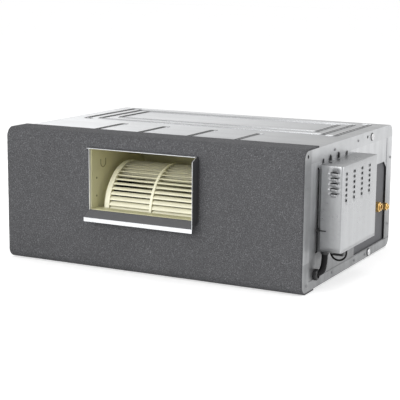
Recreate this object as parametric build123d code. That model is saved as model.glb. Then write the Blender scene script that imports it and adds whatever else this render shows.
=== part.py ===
from build123d import *
import math
import os

# Ducted air conditioner: a flat sheet-metal case with a foam-faced front, one outlet collar,
# a double-inlet blower behind it, a coil and a return filter at the back, and a control box
# on the right end. X runs to the right, the outlet faces -Y and Z is up. The origin is on the
# plane that the case rests on, under the middle of the case. All lengths are millimetres.

# Case
case_width = 1000.0
case_depth = 745.0
case_height = 405.0
sheet = 1.2
gap = 0.3
front_edge_r = 25.0
back_edge_r = 30.0
edge_lip = 10.0
foam_thick = 5.0
foam_top_wrap = 108.0
foam_base_wrap = 92.0
top_band = 40.0
base_band = 27.0
front_leg = 46.0
back_leg = 48.0
slot_leg = 66.0
top_leg_drop = 103.0
base_leg_rise = 84.0
skid_width = 30.0
skid_half_length = 380.0
skid_back_inset = 107.5
joggle_tabs_left = (70.0, 200.0)
joggle_tabs_right = (240.0, 70.0)
joggle_tab = 60.0
joggle_lap = 10.0

# Pressed lines of the top sheet, as distances from its sides, its front and its back
groove_r = 3.0
groove_corner_r = 10.0
swages = ((142.0, 430.5, 115.5), (99.0, 372.5, 90.5))
open_swage = (54.0, 357.5, 64.5)
open_swage_hook = 26.0
groove_x = (-254.0, -100.0, 70.0, 227.0)
groove_start = 110.5
groove_end = 284.5
groove_hook = 16.0

# Outlet and blower
outlet_left = -195.0
outlet_width = 360.0
outlet_top_gap = 42.0
outlet_over_axis = 12.0
outlet_top_lip = 12.0
outlet_sill_reach = 30.0
outlet_sill_drop = 17.0
outlet_sill_lip = 12.0
outlet_cheek_cut = 12.0
collar_flange = 12.0
collar_lap = 12.0
seal_thick = 3.0
pad_thick = 2.0
scroll_wall = 2.5
wheel_headroom = 125.0
wheel_width = 320.0
wheel_floor_gap = 27.0
wheel_setback = 188.0
wheel_clearance = 7.0
spiral_steps = 12
duct_setback = 4.0
lug_size = 12.0
lug_front = 8.0
lug_back = 12.0
blade_count = 52
blade_depth = 22.0
blade_thick = 2.4
blade_lean_deg = 5.5
wheel_ring_width = 16.0
wheel_ring_thick = 3.5
wheel_disc = 3.0
wheel_band = 8.0
hub_r = 20.0
hub_length = 18.0
shaft_r = 6.0
running = 0.05
inlet_margin = 30.0
inlet_wall = 2.0
inlet_bell = 14.0
inlet_reach = 6.0
bearing_r = 14.0
bearing_length = 14.0
bearing_offset = 40.0
stand_half = 25.0
stand_thick = 3.0
motor_offset = 85.0
motor_length = 150.0
motor_r = 64.0
motor_wall = 4.0
motor_boss_r = 28.0
motor_boss_length = 15.0
rubber_thick = 8.0
rubber_length = 12.0
rotor_r = 37.0
core_margin = 18.0
air_gap = 1.0
cradle_half = 50.0
shaft_stub = 6.0

# Coil section
coil_left_inset = 45.0
coil_right_inset = 64.0
coil_front_inset = 222.5
tube_rows = 3
tube_row_pitch = 22.0
coil_top_gap = 12.0
tube_pitch = 25.0
tube_r = 4.76
fin_slot = 2.5
fin_groups = 66
coil_base_z = 48.0
end_plate_margin = 8.0
header_inset = 32.0
gas_r = 7.94
liquid_r = 4.76
gas_inset = 156.5
gas_z = 160.0
liquid_inset = 72.5
liquid_z = 147.0
header_bend_r = 17.0
manifold_r = 9.5
pipe_fit = 0.4

# Pipe opening of the right end
pipe_open_length = 295.0
pipe_open_back_inset = 35.5
pipe_open_low = 34.0
pipe_open_top_gap = 116.0
pipe_open_chamfer = 34.0
pipe_recess = 12.0
pipe_pad = 6.0
pipe_overlap = 8.0
end_seam_inset = 345.5

# Flare fittings
gas_thread_r = 11.1
liquid_thread_r = 7.94
gas_nut_flats = 29.0
liquid_nut_flats = 22.0
gas_nut_length = 24.0
liquid_nut_length = 20.0
nut_floor = 8.0
thread_running = 0.1
fitting_neck = 9.0
fitting_neck_wall = 2.5
fitting_hex = 6.0
fitting_hex_less = 3.0
pipe_stop = 3.0
pipe_wall = 1.2
nut_collar = 5.0
nut_collar_less = 3.0

# Drain
pan_left_inset = 22.0
pan_right_inset = 23.0
pan_front_inset = 254.5
pan_back_inset = 110.5
pan_depth = 32.0
pan_wall = 2.0
drain_r = 12.5
drain_wall = 2.0
drain_step = 1.0
drain_reach = 34.0
drain_inset = 157.5
drain_z = 22.0

# Return side
return_width = 900.0
return_low = 52.0
return_top_gap = 58.0
return_screw_inset = 16.0
return_screw_rise = 20.0
return_screw_r = 2.4
filter_back_gap = 34.0
filter_thick = 12.0
filter_low = 41.0
filter_top_gap = 47.0
filter_right_inset = 30.0
filter_border = 18.0
filter_mesh_thick = 2.0
filter_bars = 3
filter_bar = 6.0
filter_bar_thick = 4.0
filter_gap = 1.0
filter_tab = 12.0
filter_tab_half = 25.0
rail_wall = 1.5
rail_grip = 10.0

# Control box on the right end
box_front_inset = 105.0
box_length = 290.0
box_base_gap = 106.0
box_top_gap = 50.0
box_depth = 73.0
box_edge_r = 7.0
box_wall = 1.2
box_lip = 24.0
box_lip_rise = 24.0
louvre_count = 5
louvre_pitch = 15.0
louvre_drop = 19.6
louvre_inner = 35.0
louvre_length = 21.0
louvre_slot = 3.0
louvre_hood = 2.4
scoop_columns = 4
scoop_rows = 6
scoop_column_pitch = 64.0
scoop_row_pitch = 15.2
scoop_front = 34.0
scoop_drop = 24.0
scoop_width = 15.0
hook_offsets = (31.0, 85.0, 149.0, 219.0)
hook_width = 10.0
hook_rise = 7.0
hook_slot = 2.0
cover_screw_base = 42.0
cover_screw_drop = 40.0

# Parts inside the control box
board_width = 175.0
board_thick = 1.6
board_rise = 8.0
board_setback = 67.5
board_base_gap = 82.0
board_top_gap = 20.0
boss_r = 3.5
relay_count = 3
relay_size = (18.0, 15.0, 26.0)
relay_pitch = 34.0
transformer_size = (42.0, 44.0, 56.0)
transformer_gap = 4.0
transformer_drop = 60.0
transformer_rim = 6.0
transformer_window = 5.0
capacitor_r = 17.0
capacitor_length = 66.0
capacitor_setback = 147.5
capacitor_tag = (6.0, 1.0, 8.0)
capacitor_tag_offset = 6.0
terminal_size = (24.0, 70.0, 30.0)
terminal_ways = 5
terminal_hole_r = 3.5
terminal_hole_depth = 8.0
terminal_rise = 20.0
terminal_setback = 197.5
cable_hole_r = 10.5
cable_hole_reach = 46.0
cable_hole_setback = 232.5

# Cables held by the unit
conduit_r = 9.5
conduit_reach = 19.5
conduit_end = 26.0
conduit_setback = 13.5
conduit_forward = 12.5
conduit_into_box = 8.0
conduit_drop = 34.0
conduit_hole_drop = 66.0
conduit_radii = (44.0, 16.0)
bush_wall = 1.0
bush_flange = 1.2
bush_flange_thick = 1.5
bush_half = 4.0
loop_lead_r = 2.8
loop_r = 24.0
loop_reach = 35.0
loop_setback = 82.0
loop_drop = 16.0
loop_into_box = 6.0
block_half = (16.0, 9.0)
block_height = 25.0
side_lead_r = 1.9
side_lead_forward = 5.5
side_lead_low_drop = 6.0
side_lead_high_drop = 6.0
side_lead_stand_off = 2.0
side_lead_end = 18.0
side_lead_bend = 9.5
side_lead_slot = 7.0
clip_rise = 56.0
clip_arm = (3.0, 6.0)
clip_height = 10.0
clip_reach = 26.0
clip_wall = 2.0

# Fasteners and hangers
screw_r = 2.0
screw_head_r = 4.2
screw_head = 2.4
screw_length = 8.0
screw_clearance = 0.3
top_screws = ((-148.5, 20.0), (48.5, 18.0))
base_screws = ((47.5, 18.0), (142.5, 18.0), (-141.5, 21.0))
back_screw_inset = 15.0
back_screw_drop = 108.0
back_screw_rise = 79.0
front_screw = (32.5, 24.0)
hanger_hole_r = 5.5
hanger_hole_drop = 16.0
hanger_front_inset = 23.0
hanger_back_inset = 239.0
rivet_nut_inset = 198.5
rivet_nut_drop = 20.0
rivet_nut_rise = 19.0
rivet_nut_r = 6.5
rivet_nut_bore = 4.25
rivet_nut_flange = 8.5
rivet_nut_flange_thick = 1.5
rivet_nut_length = 14.0

# Places that follow from the sizes above
x_left = -case_width / 2
x_right = case_width / 2
y_front = -case_depth / 2
y_back = case_depth / 2
z_low = foam_thick
z_high = foam_thick + case_height
floor_z = z_low + sheet
skin_left = x_left + 2 * sheet
skin_right = x_right - 2 * sheet
foam_face_y = y_front - foam_thick
top_lip_z = z_high - front_edge_r - edge_lip
base_lip_z = z_low + front_edge_r + edge_lip
back_high_z = z_high - back_edge_r - edge_lip
back_low_z = z_low + back_edge_r + edge_lip
joggle_tabs = [x_left + inset for inset in joggle_tabs_left]
joggle_tabs += [x_right - inset for inset in joggle_tabs_right]
skid_back_y = y_back - skid_back_inset

wheel_r = (case_height - wheel_headroom) / 2
wheel_z = floor_z + wheel_r + wheel_floor_gap - sheet
inlet_r = wheel_r - inlet_margin
outlet_low = wheel_z + outlet_over_axis
outlet_high = z_high - outlet_top_gap
outlet_height = outlet_high - outlet_low
outlet_right = outlet_left + outlet_width
wheel_x = outlet_left + outlet_width / 2
wheel_y = foam_face_y + wheel_setback
wheel_left = wheel_x - wheel_width / 2
wheel_right = wheel_x + wheel_width / 2
scroll_left = outlet_left - scroll_wall
scroll_right = outlet_right + scroll_wall
scroll_lug_y = (wheel_y - wheel_r + lug_front, wheel_y + wheel_r + lug_back)
collar_inner = (
    scroll_left - pipe_fit,
    scroll_right + pipe_fit,
    outlet_low - scroll_wall - pipe_fit,
    outlet_high + scroll_wall + pipe_fit,
)
motor_left = scroll_right + motor_offset
motor_right = motor_left + motor_length
bearing_x = scroll_left - bearing_offset

coil_left = x_left + coil_left_inset
coil_right = x_right - coil_right_inset
coil_length = coil_right - coil_left
coil_front_y = y_back - coil_front_inset
coil_back_y = coil_front_y + tube_rows * tube_row_pitch
tubes_per_row = 2 * int((z_high - coil_top_gap - coil_base_z) / (2 * tube_pitch))
coil_top_z = coil_base_z + tubes_per_row * tube_pitch
header_x = x_right - header_inset
gas_y = y_back - gas_inset
liquid_y = y_back - liquid_inset
pan_left = x_left + pan_left_inset
pan_right = x_right - pan_right_inset
pan_front = y_back - pan_front_inset
pan_back = y_back - pan_back_inset
drain_y = y_back - drain_inset
pipe_open_back = y_back - pipe_open_back_inset
pipe_open_front = pipe_open_back - pipe_open_length
pipe_open_high = z_high - pipe_open_top_gap
pipe_plate_x = skin_right - pipe_recess - sheet
fitting_x = pipe_plate_x + sheet + pipe_pad + gap
end_seam_y = y_back - end_seam_inset

return_high = z_high - return_top_gap
return_screw_z = (return_low + return_screw_rise, return_high - return_screw_rise)
filter_back = y_back - filter_back_gap
filter_front = filter_back - filter_thick
filter_high = z_high - filter_top_gap
filter_right = x_right - filter_right_inset

box_front = y_front + box_front_inset
box_back = box_front + box_length
box_low = z_low + box_base_gap
box_high = z_high - box_top_gap
box_face = x_right - sheet
box_outer = x_right + box_depth
tray_x = box_face + sheet
hook_tabs = [box_front + offset for offset in hook_offsets]
cover_screw_x = box_face + box_lip / 2
cover_screw_z = (box_low + cover_screw_base, box_high - cover_screw_drop)
board_x = tray_x + board_rise
board_front = box_front + board_setback
board_low = box_low + board_base_gap
board_height = box_high - board_top_gap - board_low
terminal_y = box_front + terminal_setback
terminal_low = box_low + terminal_rise
capacitor_y = box_front + capacitor_setback
cable_hole = (x_right + cable_hole_reach, box_front + cable_hole_setback)

conduit_x = x_right + conduit_reach
conduit_y = box_front + conduit_setback
conduit_hole = (box_front - conduit_forward, box_low - conduit_hole_drop)
conduit_route = (
    (conduit_x, conduit_y, box_low + conduit_into_box),
    (conduit_x, conduit_y, box_low - conduit_drop),
    (conduit_x, *conduit_hole),
    (x_right - conduit_end, *conduit_hole),
)
loop_x = x_right + loop_reach
loop_y = box_front + loop_setback
loop_z = box_low - loop_drop
side_lead_y = box_front - side_lead_forward
side_lead_low = box_low - side_lead_low_drop
side_lead_high = box_high - side_lead_high_drop
side_lead_x = x_right + side_lead_stand_off
side_lead_end_x = x_right - side_lead_end
clip_low = box_low + clip_rise

side_screws = [(y, z_high - drop) for y, drop in top_screws]
side_screws += base_screws
side_screws += [(y_back - back_screw_inset, z_high - back_screw_drop)]
side_screws += [(y_back - back_screw_inset, back_screw_rise)]
side_screws += [(y_front + front_screw[0], front_screw[1])]
hanger_z = z_high - hanger_hole_drop
hanger_holes = ((y_front + hanger_front_inset, hanger_z), (y_back - hanger_back_inset, hanger_z))
rivet_nut_y = y_back - rivet_nut_inset
rivet_nuts = ((rivet_nut_y, z_high - rivet_nut_drop), (rivet_nut_y, rivet_nut_rise))


def block(x0, x1, y0, y1, z0, z1):
    centre = Pos((x0 + x1) / 2, (y0 + y1) / 2, (z0 + z1) / 2)
    return centre * Box(x1 - x0, y1 - y0, z1 - z0)


def rod_x(x0, x1, y, z, r):
    return Pos((x0 + x1) / 2, y, z) * Rot(0, 90, 0) * Cylinder(r, x1 - x0)


def rod_y(x, y0, y1, z, r):
    return Pos(x, (y0 + y1) / 2, z) * Rot(90, 0, 0) * Cylinder(r, y1 - y0)


def rod_z(x, y, z0, z1, r):
    return Pos(x, y, (z0 + z1) / 2) * Cylinder(r, z1 - z0)


def tube_x(x0, x1, y, z, outer, inner):
    return rod_x(x0, x1, y, z, outer) - rod_x(x0 - 1, x1 + 1, y, z, inner)


def prism_x(face, x0, x1):
    return extrude(Plane.YZ.offset(x0) * face, x1 - x0)


def polygon_x(points, x0, x1):
    return prism_x(make_face(Polyline(*points, close=True)), x0, x1)


def pipe_along(path, r):
    section = Plane(origin=path @ 0, z_dir=path % 0) * Circle(r)
    return sweep(section, path=path)


def mirrored(shape):
    return mirror(shape, about=Plane.YZ)


def merged(shapes):
    first, *others = shapes
    return first.fuse(*others) if others else first


def case_face(inset):
    width = case_depth - 2 * inset
    height = case_height - 2 * inset
    outline = Pos(0, z_low + case_height / 2) * Rectangle(width, height)
    outline = fillet(outline.vertices().sort_by(Axis.X)[:2], front_edge_r - inset)
    return fillet(outline.vertices().sort_by(Axis.X)[-2:], back_edge_r - inset)


def case_skin(x0, x1, inset, thickness):
    return prism_x(case_face(inset), x0, x1) - prism_x(case_face(inset + thickness), x0 - 1, x1 + 1)


def end_band(x0, x1, y0, y1, z0, z1):
    return prism_x(case_face(0), x0, x1) & block(x0, x1, y0, y1, z0, z1)


def groove_tool(path, r):
    tool = pipe_along(path, r)
    if not path.is_closed:
        tool += Pos(path @ 0) * Sphere(r)
        tool += Pos(path @ 1) * Sphere(r)
    return tool


def groove_line(points, closed=False):
    points = [(x, y, z_high) for x, y in points]
    return FilletPolyline(*points, radius=groove_corner_r, close=closed)


def groove_paths():
    paths = []
    for side_inset, front_inset, back_inset in swages:
        half = x_right - side_inset
        front = y_front + front_inset
        back = y_back - back_inset
        corners = [(-half, front), (half, front), (half, back), (-half, back)]
        paths.append(groove_line(corners, closed=True))
    side_inset, front_inset, back_inset = open_swage
    half = x_right - side_inset
    front = y_front + front_inset
    back = y_back - back_inset
    for side in (-1, 1):
        inner = side * (half - open_swage_hook)
        ends = [(inner, front), (side * half, front), (side * half, back), (inner, back)]
        paths.append(groove_line(ends))
    start = y_front + groove_start
    end = y_front + groove_end
    for x in groove_x:
        ends = [(x, start), (x, end), (x + groove_hook, end)]
        paths.append(groove_line(ends))
    return paths


def side_holes(x0, x1):
    tools = []
    for y, z in side_screws:
        tools.append(rod_x(x0, x1, y, z, screw_r + screw_clearance))
    for y, z in hanger_holes:
        tools.append(rod_x(x0, x1, y, z, hanger_hole_r))
    for y, z in rivet_nuts:
        tools.append(rod_x(x0, x1, y, z, rivet_nut_r + screw_clearance))
    return merged(tools)


def end_holes():
    outer = side_holes(skin_right - 1, x_right + 1)
    return outer + mirrored(outer)


def end_flange(x0, side_low, side_high, leg_low, leg_high):
    x1 = x0 + sheet
    band = end_band(x0, x1, y_front, y_back, side_low, side_high)
    leg = block(x0, x1, y_front + sheet, y_front + front_leg, leg_low, leg_high)
    return band + leg


def top_panel():
    skin = case_skin(x_left, x_right, 0, sheet)
    front = skin & block(x_left, x_right, y_front, 0, top_lip_z, z_high)
    back = skin & block(x_left, x_right, 0, y_back, back_high_z, z_high)
    panel = front + back
    band_z = z_high - top_band
    for x0 in (x_left, x_right - sheet):
        panel += end_flange(x0, band_z, z_high, z_high - top_leg_drop, band_z)
    panel -= block(x_left, x_right, y_front, y_front + sheet, band_z, top_lip_z)
    for path in groove_paths():
        swell = groove_tool(path, groove_r + sheet)
        panel += swell & block(x_left, x_right, y_front, y_back, z_high - 2 * groove_r, z_high)
    for path in groove_paths():
        panel -= groove_tool(path, groove_r)
    return panel - end_holes()


def skid(y):
    outer = block(-skid_half_length, skid_half_length, y - skid_width / 2, y + skid_width / 2, 0, floor_z)
    rise = skid_half_length - sheet
    half = skid_width / 2 - sheet
    return outer, block(-rise, rise, y - half, y + half, sheet, floor_z + 1)


def base_panel():
    skin = case_skin(x_left, x_right, 0, sheet)
    front = skin & block(x_left, x_right, y_front, 0, z_low, base_lip_z)
    back = skin & block(x_left, x_right, 0, y_back, z_low, back_low_z)
    panel = front + back
    band_z = z_low + base_band
    for x0 in (x_left, x_right - sheet):
        panel += end_flange(x0, z_low, band_z, band_z, z_low + base_leg_rise)
    for y in (0, skid_back_y):
        outer, trough = skid(y)
        panel += outer
        panel -= trough
    return panel - drain_hole() - end_holes()


def collar_block(grow, y0, y1):
    x0, x1, z0, z1 = collar_inner
    return block(x0 - grow, x1 + grow, y0, y1, z0 - grow, z1 + grow)


def front_panel():
    panel = block(x_left, x_right, y_front, y_front + sheet, base_lip_z, top_lip_z)
    for x in joggle_tabs:
        for z in (base_lip_z, top_lip_z):
            half = joggle_tab / 2
            y0 = y_front + sheet
            panel += block(x - half, x + half, y0, y0 + sheet, z - joggle_lap, z + joggle_lap)
    low = z_low + base_leg_rise
    high = z_high - top_leg_drop
    for x0 in (x_left, x_right - sheet):
        panel += block(x0, x0 + sheet, y_front + sheet, y_front + front_leg, low, high)
    return panel - collar_block(sheet + gap, y_front - 1, y_front + 2 * sheet)


def front_foam():
    skin = case_skin(x_left, x_right, -foam_thick, foam_thick)
    reach = max(foam_top_wrap, foam_base_wrap)
    y0 = foam_face_y
    shell = skin & block(x_left, x_right, y0, y0 + reach, 0, z_high + foam_thick)
    z1 = z_high + foam_thick
    shell -= block(x_left - 1, x_right + 1, y0 + foam_base_wrap, y0 + reach + 1, -1, z_low + foam_thick)
    shell -= block(x_left - 1, x_right + 1, y0 + foam_top_wrap, y0 + reach + 1, z_high - 1, z1 + 1)
    opening = collar_block(sheet + gap, y0 - 1, y_front + 1)
    x0, x1, z0, z1 = collar_inner
    seal = block(x1, x1 + sheet + seal_thick + gap, y0 - 1, y_front + 1, z0 - sheet, z1 + sheet)
    return shell - opening - seal


def end_sheet(x0):
    return prism_x(case_face(sheet + gap), x0, x0 + sheet)


def left_end_panel():
    panel = end_sheet(x_left + sheet)
    panel -= filter_slot(x_left, x_left + 3 * sheet)
    panel -= drain_hole()
    return panel - end_holes()


def right_fan_panel():
    panel = end_sheet(skin_right) & block(skin_right, x_right, y_front, end_seam_y, z_low, z_high)
    for y in hook_tabs:
        half = hook_width / 2 + hook_slot
        z0 = box_high - hook_slot
        panel -= block(skin_right - 1, x_right, y - half, y + half, z0, z0 + hook_rise + 2 * hook_slot)
    y, z = conduit_hole
    panel -= rod_x(skin_right - 1, x_right, y, z, conduit_r + gap + bush_wall + gap)
    half = side_lead_r + gap
    y0 = side_lead_y - half
    y1 = side_lead_y + half
    panel -= block(skin_right - 1, x_right, y0, y1, side_lead_low - half, side_lead_low + side_lead_slot)
    panel -= block(skin_right - 1, x_right, y0, y1, side_lead_high - side_lead_slot, side_lead_high + half)
    return panel - end_holes()


def pipe_outline(grow):
    front = pipe_open_front - grow
    back = pipe_open_back + grow
    low = pipe_open_low - grow
    high = pipe_open_high + grow
    cut = pipe_open_chamfer
    return [(front, low), (back, low), (back, high - cut), (back - cut, high), (front, high)]


def right_coil_panel():
    panel = end_sheet(skin_right) & block(skin_right, x_right, end_seam_y, y_back, z_low, z_high)
    panel -= polygon_x(pipe_outline(0), skin_right - 1, x_right)
    return panel - end_holes()


def pipe_holes(x0, x1):
    gas = rod_x(x0, x1, gas_y, gas_z, gas_r + pipe_fit)
    return gas + rod_x(x0, x1, liquid_y, liquid_z, liquid_r + pipe_fit)


def pipe_panel():
    tray = polygon_x(pipe_outline(pipe_overlap), pipe_plate_x, skin_right)
    tray -= polygon_x(pipe_outline(pipe_overlap - sheet), pipe_plate_x + sheet, skin_right + 1)
    return tray - pipe_holes(pipe_plate_x - 1, skin_right)


def pipe_panel_foam():
    x0 = pipe_plate_x + sheet
    pad = polygon_x(pipe_outline(pipe_overlap - sheet - gap), x0, x0 + pipe_pad)
    return pad - pipe_holes(x0 - 1, x0 + pipe_pad + 1)


def filter_slot(x0, x1):
    grow = filter_gap
    return block(x0, x1, filter_front - grow, filter_back + grow, filter_low - grow, filter_high + grow)


def rear_frame():
    y0 = y_back - sheet
    panel = block(x_left, x_right, y0, y_back, back_low_z, back_high_z)
    half = return_width / 2
    panel -= block(-half, half, y0 - 1, y_back + 1, return_low, return_high)
    for x0, leg in ((x_left, slot_leg), (x_right - sheet, back_leg)):
        panel += block(x0, x0 + sheet, y_back - leg, y0, z_low + back_edge_r, z_high - top_band)
    panel -= filter_slot(x_left - 1, x_left + 3 * sheet)
    for x in (-1, 1):
        for z in return_screw_z:
            hole_x = x * (half + return_screw_inset)
            panel -= rod_y(hole_x, y0 - 1, y_back + 1, z, return_screw_r)
    return panel - end_holes()


def filter_rails():
    y0 = filter_front - filter_gap
    y1 = filter_back + filter_gap
    x0 = skin_left
    x1 = filter_right + filter_gap
    low = block(x0, x1, y0 - rail_wall, y1 + rail_wall, floor_z, filter_low + rail_grip)
    low -= block(x0 - 1, x1 + 1, y0, y1, filter_low - gap, filter_low + rail_grip + 1)
    top = block(x0, x1, y0 - rail_wall, y1 + rail_wall, filter_high - rail_grip, z_high - sheet)
    top -= block(x0 - 1, x1 + 1, y0, y1, filter_high - rail_grip - 1, filter_high + gap)
    hollow = rail_wall
    low -= block(x0 - 1, x1 + 1, y0, y1, floor_z - 1, filter_low - gap - hollow)
    top -= block(x0 - 1, x1 + 1, y0, y1, filter_high + gap + hollow, z_high)
    return Compound(children=[low, top])


def filter_window():
    edge = filter_border
    x0 = x_left + edge
    x1 = filter_right - edge
    low = filter_low + edge
    return block(x0, x1, filter_front - 1, filter_back + 1, low, filter_high - edge)


def filter_frame():
    frame = block(x_left, filter_right, filter_front, filter_back, filter_low, filter_high)
    frame -= filter_window()
    length = filter_right - x_left
    for index in range(filter_bars):
        x = x_left + length * (index + 1) / (filter_bars + 1)
        half = filter_bar / 2
        y1 = filter_front + filter_bar_thick
        frame += block(x - half, x + half, filter_front, y1, filter_low + 1, filter_high - 1)
    middle = (filter_low + filter_high) / 2
    y0 = filter_front + filter_bar_thick
    y1 = filter_back - filter_bar_thick
    half = filter_tab_half
    return frame + block(x_left - filter_tab, x_left, y0, y1, middle - half, middle + half)


def filter_mesh():
    middle = (filter_front + filter_back) / 2
    half = filter_mesh_thick / 2
    mesh = filter_window() & block(x_left, x_right, middle - half, middle + half, 0, z_high)
    return mesh


def collar_wall_face():
    y0 = foam_face_y
    y1 = y0 - outlet_sill_reach
    low = collar_inner[2] - sheet
    high = collar_inner[3] + sheet
    drop = low - outlet_sill_drop
    cut = high - outlet_cheek_cut
    return [(y0, low), (y0, high), (y1, cut), (y1, drop)]


def sill_face(bottom, top):
    y0 = foam_face_y
    y1 = y0 - outlet_sill_reach
    root = collar_inner[2]
    nose = root - outlet_sill_drop
    return [(y0, root + bottom), (y1, nose + bottom), (y1, nose + top), (y0, root + top)]


def outlet_collar():
    y0 = foam_face_y
    y1 = y0 - outlet_sill_reach
    x0, x1, z0, z1 = collar_inner
    sleeve = collar_block(sheet, y0, y_front + foam_thick + collar_lap)
    sleeve += collar_block(sheet + collar_flange, y_front + sheet, y_front + 2 * sheet)
    sleeve += block(x0 - sheet, x1 + sheet, y0 - outlet_top_lip, y0, z1, z1 + sheet)
    sleeve += polygon_x(collar_wall_face(), x1, x1 + sheet)
    sleeve += polygon_x(sill_face(-sheet, 0), x0 - sheet, x1)
    nose = z0 - outlet_sill_drop
    sleeve += block(x0 - sheet, x1 + sheet, y1 - sheet, y1, nose - outlet_sill_lip, nose)
    for x in joggle_tabs:
        half = joggle_tab / 2 + gap
        for z in (base_lip_z, top_lip_z):
            y = y_front + sheet
            sleeve -= block(x - half, x + half, y, y + sheet, z - joggle_lap, z + joggle_lap)
    return sleeve - collar_block(0, y0 - 1, y_front + foam_thick + collar_lap + 1)


def collar_seal():
    x1 = collar_inner[1] + sheet
    return polygon_x(collar_wall_face(), x1, x1 + seal_thick)


def sill_pad():
    return polygon_x(sill_face(0, pad_thick), collar_inner[0], collar_inner[1])


def spiral_points(extra):
    start = wheel_r + wheel_clearance
    end = outlet_high - wheel_z
    points = []
    for index in range(spiral_steps + 1):
        share = index / spiral_steps
        r = start * (end / start) ** share + extra
        angle = math.radians(180 + 270 * share)
        points.append((wheel_y + r * math.cos(angle), wheel_z + r * math.sin(angle)))
    return points


def scroll_region(extra, front_y):
    points = spiral_points(extra)
    curve = Spline(*points)
    closing = Polyline(points[-1], (wheel_y, wheel_z), points[0])
    spiral = make_face([curve, closing])
    disc = Pos(wheel_y, wheel_z) * Circle(wheel_r + wheel_clearance + extra)
    height = outlet_height + 2 * extra
    depth = wheel_y - front_y
    duct = Pos(wheel_y - depth / 2, outlet_low - extra + height / 2) * Rectangle(depth, height)
    return spiral + disc + duct


def blower_scroll():
    front_y = y_front + duct_setback
    outer = prism_x(scroll_region(scroll_wall, front_y), scroll_left, scroll_right)
    inner = prism_x(scroll_region(0, front_y - 1), outlet_left, outlet_right)
    shell = outer - inner
    hole = rod_x(scroll_left - 1, scroll_right + 1, wheel_y, wheel_z, inlet_r + inlet_wall + gap)
    return shell - hole


def scroll_half(upper):
    whole = blower_scroll()
    z0, z1 = (wheel_z, z_high) if upper else (z_low, wheel_z)
    half = whole & block(x_left, x_right, y_front, y_back, z0, z1)
    for x in (scroll_left, scroll_right):
        for y in scroll_lug_y:
            z = (wheel_z, wheel_z + lug_size) if upper else (wheel_z - lug_size, wheel_z)
            x0 = x - lug_size if x < wheel_x else x
            lug = block(x0, x0 + lug_size, y - lug_size / 2, y + lug_size / 2, z[0], z[1])
            half += lug - rod_z(x0 + lug_size / 2, y, z[0] - 1, z[1] + 1, screw_r + screw_clearance)
    return half


def inlet_ring(side):
    outer = inlet_r + inlet_wall
    reach = wheel_left - scroll_left + inlet_reach
    if side < 0:
        ring = tube_x(scroll_left, scroll_left + reach, wheel_y, wheel_z, outer, inlet_r)
        rim = tube_x(scroll_left - inlet_wall, scroll_left, wheel_y, wheel_z, outer + inlet_bell, inlet_r)
    else:
        ring = tube_x(scroll_right - reach, scroll_right, wheel_y, wheel_z, outer, inlet_r)
        rim = tube_x(scroll_right, scroll_right + inlet_wall, wheel_y, wheel_z, outer + inlet_bell, inlet_r)
    return ring + rim


def blade_face():
    inner = wheel_r - blade_depth
    tip = wheel_r - wheel_ring_thick / 2
    lean = blade_lean_deg

    def polar(r, degrees):
        angle = math.radians(180 + degrees)
        return (r * math.cos(angle), r * math.sin(angle))

    half = math.degrees(blade_thick / 2 / wheel_r)
    middle = inner + blade_depth * 0.6
    front = ThreePointArc(polar(inner, half), polar(middle, lean * 0.25 + half), polar(tip, lean + half))
    back = ThreePointArc(polar(inner, -half), polar(middle, lean * 0.25 - half), polar(tip, lean - half))
    start = Line(front @ 0, back @ 0)
    end = Line(front @ 1, back @ 1)
    return make_face([front, end, back, start])


def fan_wheel():
    face = blade_face()
    blades = []
    for index in range(blade_count):
        turned = Rot(0, 0, 360 * index / blade_count) * face
        blades.append(prism_x(Pos(wheel_y, wheel_z) * turned, wheel_left + 1, wheel_right - 1))
    ring = wheel_r - wheel_ring_thick
    left = tube_x(wheel_left, wheel_left + wheel_ring_width, wheel_y, wheel_z, wheel_r, ring)
    right = tube_x(wheel_right - wheel_ring_width, wheel_right, wheel_y, wheel_z, wheel_r, ring)
    half = wheel_band / 2
    band = tube_x(wheel_x - half, wheel_x + half, wheel_y, wheel_z, wheel_r, ring)
    half = wheel_disc / 2
    disc = tube_x(wheel_x - half, wheel_x + half, wheel_y, wheel_z, wheel_r - 1, shaft_r + gap)
    return merged([disc, band, left, right, *blades])


def wheel_hub():
    x1 = wheel_x - wheel_disc / 2
    hub = tube_x(x1 - hub_length, x1, wheel_y, wheel_z, hub_r, shaft_r + running)
    return hub


def fan_shaft():
    x0 = bearing_x - bearing_length / 2 - shaft_stub
    x1 = motor_right + motor_boss_length + shaft_stub
    return rod_x(x0, x1, wheel_y, wheel_z, shaft_r)


def shaft_bearing():
    half = bearing_length / 2
    return tube_x(bearing_x - half, bearing_x + half, wheel_y, wheel_z, bearing_r, shaft_r + running)


def bearing_stand():
    half = stand_thick / 2
    y0 = wheel_y - stand_half
    y1 = wheel_y + stand_half
    stand = block(bearing_x - half, bearing_x + half, y0, y1, floor_z, wheel_z + stand_half)
    stand += block(bearing_x - stand_half, bearing_x + half, y0, y1, floor_z, floor_z + stand_thick)
    hole = rod_x(bearing_x - half - 1, bearing_x + half + 1, wheel_y, wheel_z, bearing_r + gap)
    return stand - hole


def motor_shell():
    boss_left = motor_left - motor_boss_length
    boss_right = motor_right + motor_boss_length
    shell = rod_x(motor_left, motor_right, wheel_y, wheel_z, motor_r)
    shell += rod_x(boss_left, boss_right, wheel_y, wheel_z, motor_boss_r)
    x0 = motor_left + motor_wall
    x1 = motor_right - motor_wall
    shell -= rod_x(x0, x1, wheel_y, wheel_z, motor_r - motor_wall)
    return shell - rod_x(boss_left - 1, boss_right + 1, wheel_y, wheel_z, shaft_r + running)


def motor_stator():
    outer = motor_r - motor_wall - gap
    x0 = motor_left + core_margin
    return tube_x(x0, motor_right - core_margin, wheel_y, wheel_z, outer, rotor_r + air_gap)


def motor_rotor():
    x0 = motor_left + core_margin
    return tube_x(x0, motor_right - core_margin, wheel_y, wheel_z, rotor_r, shaft_r + running)


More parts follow.
